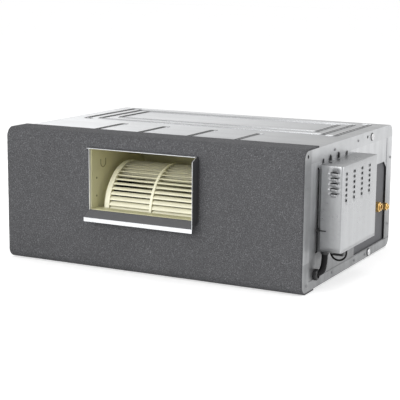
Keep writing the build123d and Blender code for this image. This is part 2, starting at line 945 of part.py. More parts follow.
def rubber_places():
    middle = motor_boss_length / 2
    return (motor_left - middle, motor_right + middle)


def motor_rubbers():
    rings = []
    half = rubber_length / 2
    for x in rubber_places():
        outer = motor_boss_r + gap + rubber_thick
        rings.append(tube_x(x - half, x + half, wheel_y, wheel_z, outer, motor_boss_r + gap))
    return Compound(children=rings)


def motor_cradle():
    xs = rubber_places()
    foot_z = floor_z + stand_thick
    y0 = wheel_y - cradle_half
    y1 = wheel_y + cradle_half
    cradle = block(xs[0] - stand_half, xs[1] + stand_half, y0, y1, floor_z, foot_z)
    hole_r = motor_boss_r + rubber_thick + 2 * gap
    for x in xs:
        half = stand_thick / 2
        post = block(x - half, x + half, y0, y1, floor_z, wheel_z + cradle_half)
        cradle += post
        cradle -= rod_x(x - half - 1, x + half + 1, wheel_y, wheel_z, hole_r)
    return cradle


def tube_y(row):
    return coil_front_y + tube_row_pitch * (row + 0.5)


def tube_z(index):
    return coil_base_z + tube_pitch * (index + 0.5)


def tube_places():
    return [(tube_y(row), tube_z(index)) for row in range(tube_rows) for index in range(tubes_per_row)]


def coil_fins():
    pack = block(coil_left, coil_right, coil_front_y, coil_back_y, coil_base_z, coil_top_z)
    pitch = coil_length / fin_groups
    cuts = []
    for index in range(1, fin_groups):
        x = coil_left + pitch * index
        half = fin_slot / 2
        for y in (coil_front_y, coil_back_y):
            cuts.append(block(x - half, x + half, y - 3, y + 3, coil_base_z - 1, coil_top_z + 1))
    pack = pack.cut(*cuts)
    holes = [rod_x(coil_left - 1, coil_right + 1, y, z, tube_r + gap) for y, z in tube_places()]
    return pack.cut(*holes)


def coil_end_plate(x0):
    margin = end_plate_margin
    z0 = floor_z + pan_wall
    plate = block(x0, x0 + sheet, coil_front_y - margin, coil_back_y + margin, z0, coil_top_z + margin)
    holes = [rod_x(x0 - 1, x0 + sheet + 1, y, z, tube_r + gap) for y, z in tube_places()]
    return plate.cut(*holes)


def u_bend(x, y, z0, side):
    r = tube_pitch / 2
    path = CenterArc((0, 0), r, -90, 180)
    plane = Plane(origin=(x, y, z0 + r), x_dir=(side, 0, 0), z_dir=(0, -side, 0))
    path = plane * path
    section = Plane(origin=path @ 0, z_dir=path % 0) * Circle(tube_r)
    return sweep(section, path=path)


def coil_tubes():
    hairpins = []
    x0 = coil_left - sheet
    x1 = coil_right + sheet
    for row in range(tube_rows):
        for index in range(0, tubes_per_row - 1, 2):
            y = tube_y(row)
            low = rod_x(x0, x1, y, tube_z(index), tube_r)
            high = rod_x(x0, x1, y, tube_z(index + 1), tube_r)
            hairpins.append(merged([u_bend(x0, y, tube_z(index), -1), low, high]))
    return Compound(children=hairpins)


def coil_return_bends():
    x = coil_right + sheet
    bends = []
    for row in range(tube_rows):
        for index in range(1, tubes_per_row - 1, 2):
            bends.append(u_bend(x, tube_y(row), tube_z(index), 1))
    return Compound(children=bends)


def header(points, r, index):
    pipe = pipe_along(FilletPolyline(*points, radius=header_bend_r), r)
    y0 = tube_y(0) - tube_row_pitch / 2
    y1 = tube_y(tube_rows - 1) + tube_row_pitch / 2
    pipe += rod_y(header_x, y0, y1, tube_z(index), manifold_r)
    for row in range(tube_rows):
        pipe += rod_x(coil_right + sheet, header_x, tube_y(row), tube_z(index), tube_r)
    return pipe


def gas_header():
    z = tube_z(tubes_per_row - 1)
    start = tube_y(0)
    end = (fitting_x, gas_y, gas_z)
    route = [(header_x, start, z), (header_x, gas_y, z), (header_x, gas_y, gas_z), end]
    return header(route, gas_r, tubes_per_row - 1)


def liquid_header():
    z = tube_z(0)
    y = tube_y(0)
    end = (fitting_x, liquid_y, liquid_z)
    route = [(header_x, y, z), (header_x, liquid_y, z), (header_x, liquid_y, liquid_z), end]
    return header(route, liquid_r, 0)


def hexagon_x(flats, x0, x1, y, z):
    face = Pos(y, z) * RegularPolygon(flats / math.sqrt(3), 6)
    return prism_x(face, x0, x1)


def flare_fitting(y, z, pipe_r, thread_r, flats, nut_length):
    x0 = fitting_x
    x1 = x0 + fitting_neck
    x2 = x1 + nut_length - nut_floor - gap
    neck = rod_x(x0, x1, y, z, pipe_r + fitting_neck_wall)
    neck += hexagon_x(flats - fitting_hex_less, x0 + 1, x0 + 1 + fitting_hex, y, z)
    body = neck + rod_x(x1, x2, y, z, thread_r)
    return body - rod_x(x0 + pipe_stop, x2 + 1, y, z, pipe_r - pipe_wall)


def flare_nut(y, z, pipe_r, thread_r, flats, nut_length):
    x0 = fitting_x + fitting_neck
    x1 = x0 + nut_length
    nut = hexagon_x(flats, x0, x1 - nut_collar, y, z)
    nut += rod_x(x1 - nut_collar, x1, y, z, flats / 2 - nut_collar_less)
    nut -= rod_x(x0 - 1, x1 - nut_floor, y, z, thread_r + thread_running)
    return nut - rod_x(x0, x1 + 1, y, z, pipe_r + thread_running)


gas_fit = (gas_y, gas_z, gas_r, gas_thread_r, gas_nut_flats, gas_nut_length)
liquid_fit = (liquid_y, liquid_z, liquid_r, liquid_thread_r, liquid_nut_flats, liquid_nut_length)


def drain_pan():
    wall = pan_wall
    z0 = floor_z
    z1 = floor_z + pan_depth
    pan = block(pan_left, pan_right, pan_front, pan_back, z0, z1)
    pan -= block(pan_left + wall, pan_right - wall, pan_front + wall, pan_back - wall, z0 + wall, z1 + 1)
    return pan - rod_x(pan_left - 1, pan_left + wall + 1, drain_y, drain_z, drain_r - drain_wall)


def drain_hole():
    return rod_x(x_left - 1, x_left + 3 * sheet, drain_y, drain_z, drain_r - drain_step + gap)


def drain_stub():
    x0 = x_left - gap
    bore = drain_r - drain_wall
    stub = tube_x(x0 - drain_reach, x0, drain_y, drain_z, drain_r, bore)
    return stub + tube_x(x0, pan_left, drain_y, drain_z, drain_r - drain_step, bore)


def control_tray():
    x0 = box_face
    x1 = x0 + sheet
    inner = box_wall + gap
    y0 = box_front + inner
    y1 = box_back - inner
    z1 = box_high - inner
    tray = block(x0, x1, y0, y1, box_low, z1)
    shelf = block(x0, box_outer - inner, y0, y1, box_low, box_low + sheet)
    tray += fillet(shelf.edges().filter_by(Axis.Z).group_by(Axis.X)[-1], box_edge_r - inner)
    tray += block(x0, x0 + box_lip, y0, y1, z1 - sheet, z1)
    tray += block(x0, x0 + box_lip, y0, y0 + sheet, box_low + box_lip_rise, z1)
    tray += block(x0, x0 + box_lip, y1 - sheet, y1, box_low, z1)
    tray += block(x0, x0 + sheet, y0, y1, z1 - sheet, box_high - gap)
    tab_z = box_high + hook_rise
    for y in hook_tabs:
        half = hook_width / 2
        tray += block(x0, x1, y - half, y + half, z1 - sheet, tab_z)
        tray += block(skin_right - hook_slot, x1, y - half, y + half, tab_z - sheet, tab_z)
    for z in cover_screw_z:
        r = screw_r + screw_clearance
        tray -= block(cover_screw_x - r, x0 + box_lip + 1, y1 - sheet - 1, y1 + 1, z - r, z + r)
    for y, z in board_corners():
        tray += rod_x(x1, x1 + board_rise, y, z, boss_r)
    tray -= rod_z(conduit_x, conduit_y, box_low - 1, box_low + sheet + 1, conduit_r + gap + bush_wall + gap)
    tray -= rod_z(*cable_hole, box_low - 1, box_low + sheet + 1, cable_hole_r)
    for side in (-1, 1):
        x = loop_x + side * loop_r
        tray -= rod_z(x, loop_y, box_low - 1, box_low + sheet + 1, loop_lead_r + gap)
    return tray


def control_cover():
    x0 = box_face + sheet
    shell = block(x0, box_outer, box_front, box_back, box_low, box_high)
    edges = shell.edges().filter_by(Axis.Z).group_by(Axis.X)[-1]
    shell = fillet(edges, box_edge_r)
    wall = box_wall
    inner = block(x0 - 1, box_outer - wall, box_front + wall, box_back - wall, box_low - 1, box_high - wall)
    edges = inner.edges().filter_by(Axis.Z).group_by(Axis.X)[-1]
    shell -= fillet(edges, box_edge_r - wall)
    half = louvre_slot / 2
    slot_x0 = x_right + louvre_inner
    slot_x1 = slot_x0 + louvre_length
    hood_y = box_front - louvre_hood
    for index in range(louvre_count):
        z0 = box_high - louvre_drop - louvre_pitch * index - half
        z1 = z0 + louvre_slot
        shell += block(slot_x0, slot_x1, hood_y, box_front, z0 - wall, z0)
        shell -= block(slot_x0, slot_x1, box_front - 1, box_front + wall + 1, z0, z1)
    x1 = box_outer
    for column in range(scoop_columns):
        for row in range(scoop_rows):
            y0 = box_front + scoop_front + scoop_column_pitch * column - scoop_width / 2
            y1 = y0 + scoop_width
            z0 = box_high - scoop_drop - scoop_row_pitch * row - half
            z1 = z0 + louvre_slot
            shell += block(x1, x1 + louvre_hood, y0, y1, z1, z1 + wall)
            shell -= block(x1 - wall - 1, x1 + 1, y0, y1, z0, z1)
    for z in cover_screw_z:
        shell -= rod_y(cover_screw_x, box_back - wall - 1, box_back + 1, z, screw_r + screw_clearance)
    return shell


def cover_screws():
    screws = []
    for z in cover_screw_z:
        head = rod_y(cover_screw_x, box_back, box_back + screw_head, z, screw_head_r)
        screws.append(head + rod_y(cover_screw_x, box_back - screw_length, box_back, z, screw_r))
    return Compound(children=screws)


def board_corners():
    inset = 2 * boss_r
    ys = (board_front + inset, board_front + board_width - inset)
    zs = (board_low + inset, board_low + board_height - inset)
    return [(y, z) for y in ys for z in zs]


def circuit_board():
    y1 = board_front + board_width
    return block(board_x, board_x + board_thick, board_front, y1, board_low, board_low + board_height)


def relays():
    dx, dy, dz = relay_size
    x0 = board_x + board_thick
    z0 = board_low + board_height / 2
    pieces = []
    for index in range(relay_count):
        y0 = board_front + relay_pitch * (index + 1)
        pieces.append(block(x0, x0 + dx, y0, y0 + dy, z0, z0 + dz))
    return Compound(children=pieces)


def transformer():
    dx, dy, dz = transformer_size
    y0 = board_front - dy - transformer_gap
    z0 = box_high - transformer_drop - dz
    core = block(tray_x, tray_x + dx, y0, y0 + dy, z0, z0 + dz)
    window = dz / 4
    deep = transformer_window
    for y in (y0 - 1, y0 + dy - deep):
        cut_x = tray_x + transformer_rim
        core -= block(cut_x, tray_x + dx + 1, y, y + deep + 1, z0 + window, z0 + dz - window)
    return core


def run_capacitor():
    x = tray_x + capacitor_r + gap
    z0 = box_low + sheet
    z1 = z0 + capacitor_length
    can = rod_z(x, capacitor_y, z0, z1, capacitor_r)
    dx, dy, dz = capacitor_tag
    for side in (-1, 1):
        y = capacitor_y + side * capacitor_tag_offset
        can += block(x - dx / 2, x + dx / 2, y - dy / 2, y + dy / 2, z1, z1 + dz)
    return can


def terminal_block():
    dx, dy, dz = terminal_size
    x1 = tray_x + dx
    body = block(tray_x, x1, terminal_y, terminal_y + dy, terminal_low, terminal_low + dz)
    for index in range(terminal_ways):
        y = terminal_y + dy * (index + 0.5) / terminal_ways
        body -= rod_x(x1 - terminal_hole_depth, x1 + 1, y, terminal_low + dz / 2, terminal_hole_r)
    return body


def conduit():
    return pipe_along(FilletPolyline(*conduit_route, radius=list(conduit_radii)), conduit_r)


def bush(plane):
    inner = conduit_r + gap
    outer = inner + bush_wall
    half = bush_half
    thick = bush_flange_thick
    sleeve = Cylinder(outer, 2 * half)
    sleeve += Pos(0, 0, sheet / 2 + thick / 2) * Cylinder(outer + bush_flange, thick)
    sleeve += Pos(0, 0, -sheet / 2 - thick / 2) * Cylinder(outer + bush_flange, thick)
    return plane * (sleeve - Cylinder(inner, 4 * half))


def conduit_bushes():
    upper = bush(Plane(origin=(conduit_x, conduit_y, box_low + sheet / 2), z_dir=(0, 0, -1)))
    y, z = conduit_hole
    lower = bush(Plane(origin=(skin_right + sheet / 2, y, z), z_dir=(1, 0, 0)))
    return Compound(children=[upper, lower])


def loop_lead():
    z1 = box_low + sheet + loop_into_box
    left = (loop_x - loop_r, loop_y, z1)
    right = (loop_x + loop_r, loop_y, z1)
    down = Line(left, (loop_x - loop_r, loop_y, loop_z))
    low = (loop_x, loop_y, loop_z - loop_r)
    turn = ThreePointArc((loop_x - loop_r, loop_y, loop_z), low, (loop_x + loop_r, loop_y, loop_z))
    up = Line((loop_x + loop_r, loop_y, loop_z), right)
    return pipe_along(Wire([down, turn, up]), loop_lead_r)


def cable_block():
    half_x, half_y = block_half
    z0 = box_low - block_height
    return block(loop_x - half_x, loop_x + half_x, loop_y - half_y, loop_y + half_y, z0, box_low)


def side_lead():
    y = side_lead_y
    x0 = side_lead_end_x
    points = [(x0, y, side_lead_high), (side_lead_x, y, side_lead_high)]
    points += [(side_lead_x, y, side_lead_low), (x0, y, side_lead_low)]
    return pipe_along(FilletPolyline(*points, radius=[side_lead_bend, side_lead_bend]), side_lead_r)


def lead_hook():
    x0 = box_face
    y0 = side_lead_y - side_lead_r - gap - clip_wall
    y1 = box_front - gap
    x1 = side_lead_x + side_lead_r + gap + clip_wall
    z1 = clip_low + clip_height
    hook = block(x0, x1, y0, y1, clip_low, z1)
    hook -= rod_z(side_lead_x, side_lead_y, clip_low - 1, z1 + 1, side_lead_r + gap)
    low, high = clip_arm
    arm = block(x0 + 1, x_right + clip_reach, y1 - clip_wall, y1, clip_low + low, clip_low + high)
    return hook + (arm - rod_z(side_lead_x, side_lead_y, clip_low, z1, side_lead_r + gap))


def casing_screws():
    screws = []
    for side in (-1, 1):
        for y, z in side_screws:
            head = rod_x(x_right, x_right + screw_head, y, z, screw_head_r)
            screw = head + rod_x(x_right - screw_length, x_right, y, z, screw_r)
            screws.append(screw if side > 0 else mirrored(screw))
    return Compound(children=screws)


def hanger_nuts():
    nuts = []
    for side in (-1, 1):
        for y, z in rivet_nuts:
            x1 = x_right + rivet_nut_flange_thick
            nut = rod_x(x_right, x1, y, z, rivet_nut_flange)
            nut += rod_x(x_right - rivet_nut_length, x_right, y, z, rivet_nut_r)
            nut -= rod_x(x_right - rivet_nut_length - 1, x1 + 1, y, z, rivet_nut_bore)
            nuts.append(nut if side > 0 else mirrored(nut))
    return Compound(children=nuts)


def scroll_screws():
    screws = []
    for x in (scroll_left - lug_size / 2, scroll_right + lug_size / 2):
        for y in scroll_lug_y:
            z1 = wheel_z + lug_size
            head = rod_z(x, y, z1, z1 + screw_head, screw_head_r)
            screws.append(head + rod_z(x, y, wheel_z - lug_size, z1, screw_r))
    return Compound(children=screws)


parts = {
    "top_panel": top_panel,
    "base_panel": base_panel,
    "front_panel": front_panel,
    "front_foam": front_foam,
    "left_end_panel": left_end_panel,
    "right_fan_panel": right_fan_panel,
    "right_coil_panel": right_coil_panel,
    "rear_frame": rear_frame,
    "outlet_collar": outlet_collar,
    "collar_seal": collar_seal,
    "sill_pad": sill_pad,
    "scroll_upper": lambda: scroll_half(True),
    "scroll_lower": lambda: scroll_half(False),
    "scroll_screws": scroll_screws,
    "inlet_ring_left": lambda: inlet_ring(-1),
    "inlet_ring_right": lambda: inlet_ring(1),
    "fan_wheel": fan_wheel,
    "wheel_hub": wheel_hub,
    "fan_shaft": fan_shaft,
    "shaft_bearing": shaft_bearing,
    "bearing_stand": bearing_stand,
    "motor_shell": motor_shell,
    "motor_stator": motor_stator,
    "motor_rotor": motor_rotor,
    "motor_rubbers": motor_rubbers,
    "motor_cradle": motor_cradle,
    "coil_fins": coil_fins,
    "coil_tubes": coil_tubes,
    "coil_return_bends": coil_return_bends,
    "coil_end_plate_left": lambda: coil_end_plate(coil_left - sheet),
    "coil_end_plate_right": lambda: coil_end_plate(coil_right),
    "gas_header": gas_header,
    "liquid_header": liquid_header,
    "gas_fitting": lambda: flare_fitting(*gas_fit),
    "liquid_fitting": lambda: flare_fitting(*liquid_fit),
    "gas_flare_nut": lambda: flare_nut(*gas_fit),
    "liquid_flare_nut": lambda: flare_nut(*liquid_fit),
    "pipe_panel": pipe_panel,
    "pipe_panel_foam": pipe_panel_foam,
    "drain_pan": drain_pan,
    "drain_stub": drain_stub,
    "filter_rails": filter_rails,
    "filter_frame": filter_frame,
    "filter_mesh": filter_mesh,
    "control_tray": control_tray,
    "control_cover": control_cover,
    "cover_screws": cover_screws,
    "circuit_board": circuit_board,
    "relays": relays,
    "transformer": transformer,
    "run_capacitor": run_capacitor,
    "terminal_block": terminal_block,
    "conduit": conduit,
    "conduit_bushes": conduit_bushes,
    "loop_lead": loop_lead,
    "cable_block": cable_block,
    "side_lead": side_lead,
    "lead_hook": lead_hook,
    "casing_screws": casing_screws,
    "hanger_nuts": hanger_nuts,
}

os.makedirs("parts", exist_ok=True)
for node, make in parts.items():
    export_step(make(), f"parts/{node}.step")

conduit_length = FilletPolyline(*conduit_route, radius=list(conduit_radii)).length
print("conduit length", round(conduit_length, 1), "radii", conduit_radii)
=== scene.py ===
import math
import bmesh
import bpy
from mathutils import Matrix, Vector, noise


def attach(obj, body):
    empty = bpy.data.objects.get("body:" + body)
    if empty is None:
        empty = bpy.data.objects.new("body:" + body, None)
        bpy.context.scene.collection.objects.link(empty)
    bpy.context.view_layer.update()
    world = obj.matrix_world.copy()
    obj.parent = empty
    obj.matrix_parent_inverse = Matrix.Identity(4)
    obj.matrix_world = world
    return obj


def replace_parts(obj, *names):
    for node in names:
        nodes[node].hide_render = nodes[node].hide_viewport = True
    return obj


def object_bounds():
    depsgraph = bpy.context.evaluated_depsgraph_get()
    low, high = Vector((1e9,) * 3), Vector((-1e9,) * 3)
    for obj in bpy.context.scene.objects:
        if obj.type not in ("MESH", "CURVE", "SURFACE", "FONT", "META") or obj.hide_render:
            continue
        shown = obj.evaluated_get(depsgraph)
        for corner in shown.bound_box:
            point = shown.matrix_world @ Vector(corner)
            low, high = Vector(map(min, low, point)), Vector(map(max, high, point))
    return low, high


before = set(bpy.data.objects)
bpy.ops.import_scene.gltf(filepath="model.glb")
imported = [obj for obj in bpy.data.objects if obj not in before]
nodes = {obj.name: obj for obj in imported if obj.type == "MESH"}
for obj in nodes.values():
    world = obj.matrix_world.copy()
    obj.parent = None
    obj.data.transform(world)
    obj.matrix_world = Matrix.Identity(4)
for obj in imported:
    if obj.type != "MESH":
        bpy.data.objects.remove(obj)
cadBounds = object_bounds()
mm = 0.001


# A socket of a material, so that shader maths reads as ordinary expressions
class Wire:
    def __init__(self, finish, socket):
        self.finish = finish
        self.socket = socket

    def math(self, operation, other=None, swapped=False):
        values = [self] if other is None else [self, other]
        if swapped:
            values.reverse()
        return self.finish.node("Math", {"operation": operation}, dict(enumerate(values)))

    def __add__(self, other):
        return self.math("ADD", other)

    def __sub__(self, other):
        return self.math("SUBTRACT", other)

    def __rsub__(self, other):
        return self.math("SUBTRACT", other, swapped=True)

    def __mul__(self, other):
        return self.math("MULTIPLY", other)

    def __truediv__(self, other):
        return self.math("DIVIDE", other)

    def __pow__(self, other):
        return self.math("POWER", other)

    def __gt__(self, other):
        return self.math("GREATER_THAN", other)

    def __lt__(self, other):
        return self.math("LESS_THAN", other)

    __radd__ = __add__
    __rmul__ = __mul__

    def absolute(self):
        return self.math("ABSOLUTE")

    def least(self, other):
        return self.math("MINIMUM", other)

    def most(self, other):
        return self.math("MAXIMUM", other)

    def ramp(self, *stops):
        stops = [(at, tone if isinstance(tone, tuple) else (tone, tone, tone)) for at, tone in stops]
        return self.finish.node("ValToRGB", {"stops": stops}, {"Fac": self})

    def spread(self, low, high, toLow=0.0, toHigh=1.0):
        sockets = {"Value": self, "From Min": low, "From Max": high, "To Min": toLow, "To Max": toHigh}
        return self.finish.node("MapRange", {}, sockets)


# A material that is being built
class Finish:
    def __init__(self, name):
        self.material = bpy.data.materials.new(name)
        self.material.use_nodes = True
        self.tree = self.material.node_tree
        self.tree.nodes.clear()

    def node(self, kind, settings, sockets, output=0):
        made = self.tree.nodes.new("ShaderNode" + kind)
        for key, value in settings.items():
            if key == "stops":
                self.setStops(made.color_ramp, value)
            else:
                setattr(made, key, value)
        for key, value in sockets.items():
            if isinstance(value, Wire):
                self.tree.links.new(value.socket, made.inputs[key])
            else:
                made.inputs[key].default_value = value
        return Wire(self, made.outputs[output]) if len(made.outputs) else None

    def setStops(self, colorRamp, stops):
        while len(colorRamp.elements) < len(stops):
            colorRamp.elements.new(1.0)
        for element, (at, tone) in zip(colorRamp.elements, stops):
            element.position = at
            element.color = (*tone, 1.0)

    def place(self):
        return self.node("TexCoord", {}, {}, "Object")

    def axis(self, letter):
        return self.node("SeparateXYZ", {}, {0: self.place()}, letter)

    def facing(self, letter):
        return self.node("SeparateXYZ", {}, {0: self.node("TexCoord", {}, {}, "Normal")}, letter)

    def stretched(self, scale):
        return self.node("VectorMath", {"operation": "MULTIPLY"}, {0: self.place(), 1: scale})

    def noise(self, scale, detail=4.0, roughness=0.55, at=None, output="Fac"):
        sockets = {"Vector": at or self.place(), "Scale": scale, "Detail": detail, "Roughness": roughness}
        return self.node("TexNoise", {}, sockets, output)

    def cells(self, scale, at=None, output="Distance", feature="F1"):
        return self.node("TexVoronoi", {"feature": feature}, {"Vector": at or self.place(), "Scale": scale}, output)

    def blend(self, amount, first, second, way="MIX"):
        settings = {"data_type": "RGBA", "blend_type": way}
        return self.node("Mix", settings, {0: amount, 6: rgba(first), 7: rgba(second)}, 2)

    def bump(self, height, depth, strength=1.0, under=None):
        sockets = {"Height": height, "Distance": depth, "Strength": strength}
        if under is not None:
            sockets["Normal"] = under
        return self.node("Bump", {}, sockets)

    def done(self, **sockets):
        named = {key.replace("_", " "): rgba(value) for key, value in sockets.items()}
        shader = self.node("BsdfPrincipled", {}, named)
        self.node("OutputMaterial", {}, {"Surface": shader})
        return self.material


def rgba(tone):
    if isinstance(tone, tuple) and len(tone) == 3:
        return (*tone, 1.0)
    return tone


# Zinc-coated sheet: flakes of crystal, faint rolling lines, dull handling marks, plus painted light and shade: tone
# gradients along the axes, tone set by which way a face points, and painted shade in the sunk grooves
zinc = {"flakes": 95.0, "fineFlakes": 210.0, "handling": 5.0, "grain": 900.0, "edgeWear": 18.0}


def zincSheet(name, tone=0.50, gloss=0.36, metal=0.75, flakeDepth=0.05, paintedShadingFades=(), facing=(), streaks=0.0,
              streakWay=(1.0, 1.0, 0.06), sunk=0.0):
    f = Finish(name)
    warp = f.noise(zinc["flakes"] * 0.5, detail=2.0, output="Color")
    bent = f.node("VectorMath", {"operation": "MULTIPLY_ADD"}, {0: warp, 1: (0.006,) * 3, 2: f.place()})
    flake = f.cells(zinc["flakes"], at=bent, output="Color")
    flakeTone = f.node("SeparateColor", {}, {0: flake}, 0)
    fine = f.node("SeparateColor", {}, {0: f.cells(zinc["fineFlakes"], at=bent, output="Color")}, 1)
    marks = f.noise(zinc["handling"], detail=6.0, roughness=0.62)
    lines = f.noise(zinc["grain"], detail=2.0, at=f.stretched((0.03, 1.0, 1.0)))
    value = (flakeTone - 0.5) * flakeDepth + (fine - 0.5) * (flakeDepth * 0.5) + (marks - 0.5) * 0.10 + tone
    # painted light and shade: each entry lightens or darkens the sheet along an axis
    for letter, start, end, change, uneven in paintedShadingFades:
        value = value + (f.axis(letter) + (marks - 0.5) * uneven).spread(start, end) * change
    # painted shade: darkens the sheet inside the field where it lies below its face, in the pressed grooves
    if sunk:
        grooveShadeField = f.axis("X").spread(0.475, 0.465) * f.axis("X").spread(-0.475, -0.465) * f.axis("Y").spread(0.325, 0.315)
        value = value - f.axis("Z").spread(0.4097, 0.4082) * grooveShadeField * sunk
    # painted light and shade: lighter or darker by which way a face points
    for letter, start, end, change in facing:
        value = value + f.facing(letter).spread(start, end) * change
    if streaks:
        run = f.noise(26.0, detail=3.0, at=f.stretched(streakWay))
        value = value + (run - 0.5) * streaks
    color = f.node("CombineColor", {}, {0: value * 0.985, 1: value, 2: value * 1.02})
    rough = (flakeTone - 0.5) * (flakeDepth * 2) + (marks - 0.5) * 0.22 + (lines - 0.5) * 0.06 + gloss
    relief = f.bump(flakeTone * 0.5 + fine * 0.3 + lines * 0.2, flakeDepth * 0.002, 0.35)
    waves = f.bump(f.noise(4.0, detail=1.0), 0.004, 0.10, under=relief)
    return f.done(Base_Color=color, Metallic=metal, Roughness=rough.most(0.12), Normal=waves)


# Closed-cell foam board with a speckled skin
foam = {"speckle": 360.0, "coarse": 110.0, "mottle": 9.0}


def foamSkin(name, tone, speckle=1.0):
    f = Finish(name)
    fine = f.noise(foam["speckle"], detail=5.0, roughness=0.75)
    coarse = f.noise(foam["coarse"], detail=3.0, roughness=0.6)
    mottle = f.noise(foam["mottle"], detail=3.0)
    pores = f.cells(foam["speckle"] * 0.9)
    light = fine.spread(0.50, 0.74) * (0.24 * speckle)
    dark = fine.spread(0.48, 0.30) * (0.045 * speckle)
    value = light * (coarse.spread(0.35, 0.65, 0.4, 1.0)) - dark + (mottle - 0.5) * 0.018 + tone
    # painted light: the foam grows slightly lighter towards the +X end
    value = value + f.axis("X").spread(-0.5, 0.5) * 0.012
    color = f.node("CombineColor", {}, {0: value * 0.985, 1: value * 0.99, 2: value * 1.04})
    relief = f.bump(fine * 0.7 + pores * 0.6 + coarse * 0.4, 0.0011, 0.55)
    rough = fine.spread(0.3, 0.7, 0.78, 1.0)
    return f.done(Base_Color=color, Roughness=rough, Normal=relief, Specular_IOR_Level=0.25)


# Moulded plastic: faint flow marks, fine spark texture, dust in random patches
def mouldedPlastic(name, tone, shade, gloss=0.42, grain=700.0, depth=0.00008, dust=0.12):
    f = Finish(name)
    flow = f.noise(7.0, detail=4.0, at=f.stretched((1.0, 0.35, 1.0)))
    spark = f.noise(grain, detail=3.0, roughness=0.7)
    color = f.blend(flow.spread(0.3, 0.7), tone, shade)
    dusty = f.blend(f.noise(38.0, detail=6.0).spread(0.52, 0.75) * dust, color, (0.42, 0.40, 0.36))
    relief = f.bump(spark + flow * 0.5, depth, 0.5)
    rough = flow.spread(0.2, 0.8, -0.06, 0.08) + spark * 0.08 + gloss
    return f.done(Base_Color=dusty, Roughness=rough, Normal=relief)


# Turned or drawn metal with tarnish that follows a slow noise
def drawnMetal(name, bright, tarnish, gloss=0.22, amount=0.5, grain=(1.0, 1.0, 1.0)):
    f = Finish(name)
    stain = f.noise(46.0, detail=6.0, roughness=0.65).spread(0.42, 0.72)
    turning = f.noise(1400.0, detail=2.0, at=f.stretched(grain))
    scratch = f.noise(260.0, detail=3.0, roughness=0.7)
    color = f.blend(stain * amount, bright, tarnish)
    rough = stain * 0.25 + (scratch - 0.5) * 0.15 + (turning - 0.5) * 0.1 + gloss
    relief = f.bump(turning * 0.6 + scratch * 0.4, 0.00006, 0.4)
    return f.done(Base_Color=color, Metallic=1.0, Roughness=rough.most(0.08), Normal=relief)


# Black sheath and mount rubber, slightly dusty
def darkRubber(name, tone=0.006, gloss=0.46):
    f = Finish(name)
    dust = f.noise(60.0, detail=6.0, roughness=0.7).spread(0.5, 0.8) * 0.012
    spark = f.noise(900.0, detail=2.0)
    value = dust + (spark - 0.5) * 0.006 + tone
    color = f.node("CombineColor", {}, {0: value, 1: value, 2: value * 1.05})
    relief = f.bump(spark, 0.00008, 0.5)
    return f.done(Base_Color=color, Roughness=spark * 0.16 + gloss, Normal=relief, Specular_IOR_Level=0.2)


# Thin rolled fins: fine upright lines of painted highlight and painted shade stand in for the lips of the fins and the
# gaps between them
def finStock(name):
    f = Finish(name)
    line = f.node("TexWave", {"bands_direction": "X"}, {"Vector": f.place(), "Scale": 110.0, "Distortion": 0.3})
    bent = f.noise(22.0, detail=5.0).spread(0.5, 0.75)
    # painted highlight and shade: lighter lines on the fin lips, darker lines for the gaps
    value = line.spread(0.0, 1.0, 0.32, 0.72) - bent * 0.08
    color = f.node("CombineColor", {}, {0: value, 1: value * 1.005, 2: value * 1.02})
    return f.done(Base_Color=color, Metallic=0.85, Roughness=bent * 0.15 + 0.34, Normal=f.bump(line, 0.0005, 0.6))


# Nylon screen of the filter
def screenCloth(name, pitch=520.0):
    f = Finish(name)
    across = f.node("TexWave", {"bands_direction": "X"}, {"Vector": f.place(), "Scale": pitch / 3})
    upward = f.node("TexWave", {"bands_direction": "Z"}, {"Vector": f.place(), "Scale": pitch / 3})
    thread = across.most(upward)
    dust = f.noise(18.0, detail=6.0).spread(0.45, 0.8) * 0.06
    value = thread.spread(0.4, 1.0, 0.01, 0.06) + dust
    color = f.node("CombineColor", {}, {0: value, 1: value, 2: value * 1.08})
    return f.done(Base_Color=color, Roughness=thread * 0.2 + 0.6, Normal=f.bump(thread, 0.0004, 0.8))


# Green board: copper tracks show as a lighter maze under the mask
def solderMask(name):
    f = Finish(name)
    track = f.cells(160.0, feature="DISTANCE_TO_EDGE")
    mottle = f.noise(30.0)
    color = f.blend(track.spread(0.03, 0.06), (0.03, 0.16, 0.06), (0.012, 0.085, 0.035))
    rough = mottle * 0.1 + 0.22
    return f.done(Base_Color=color, Roughness=rough, Normal=f.bump(track, 0.0001, 0.4), Coat_Weight=0.3)


def laminations(name):
    f = Finish(name)
    line = f.node("TexWave", {"bands_direction": "Z"}, {"Vector": f.place(), "Scale": 220.0, "Distortion": 0.4})
    rust = f.noise(90.0, detail=5.0).spread(0.55, 0.8)
    color = f.blend(rust * 0.5, (0.20, 0.20, 0.21), (0.16, 0.07, 0.03))
    return f.done(Base_Color=color, Metallic=0.7, Roughness=rust * 0.3 + 0.4, Normal=f.bump(line, 0.0003, 0.6))


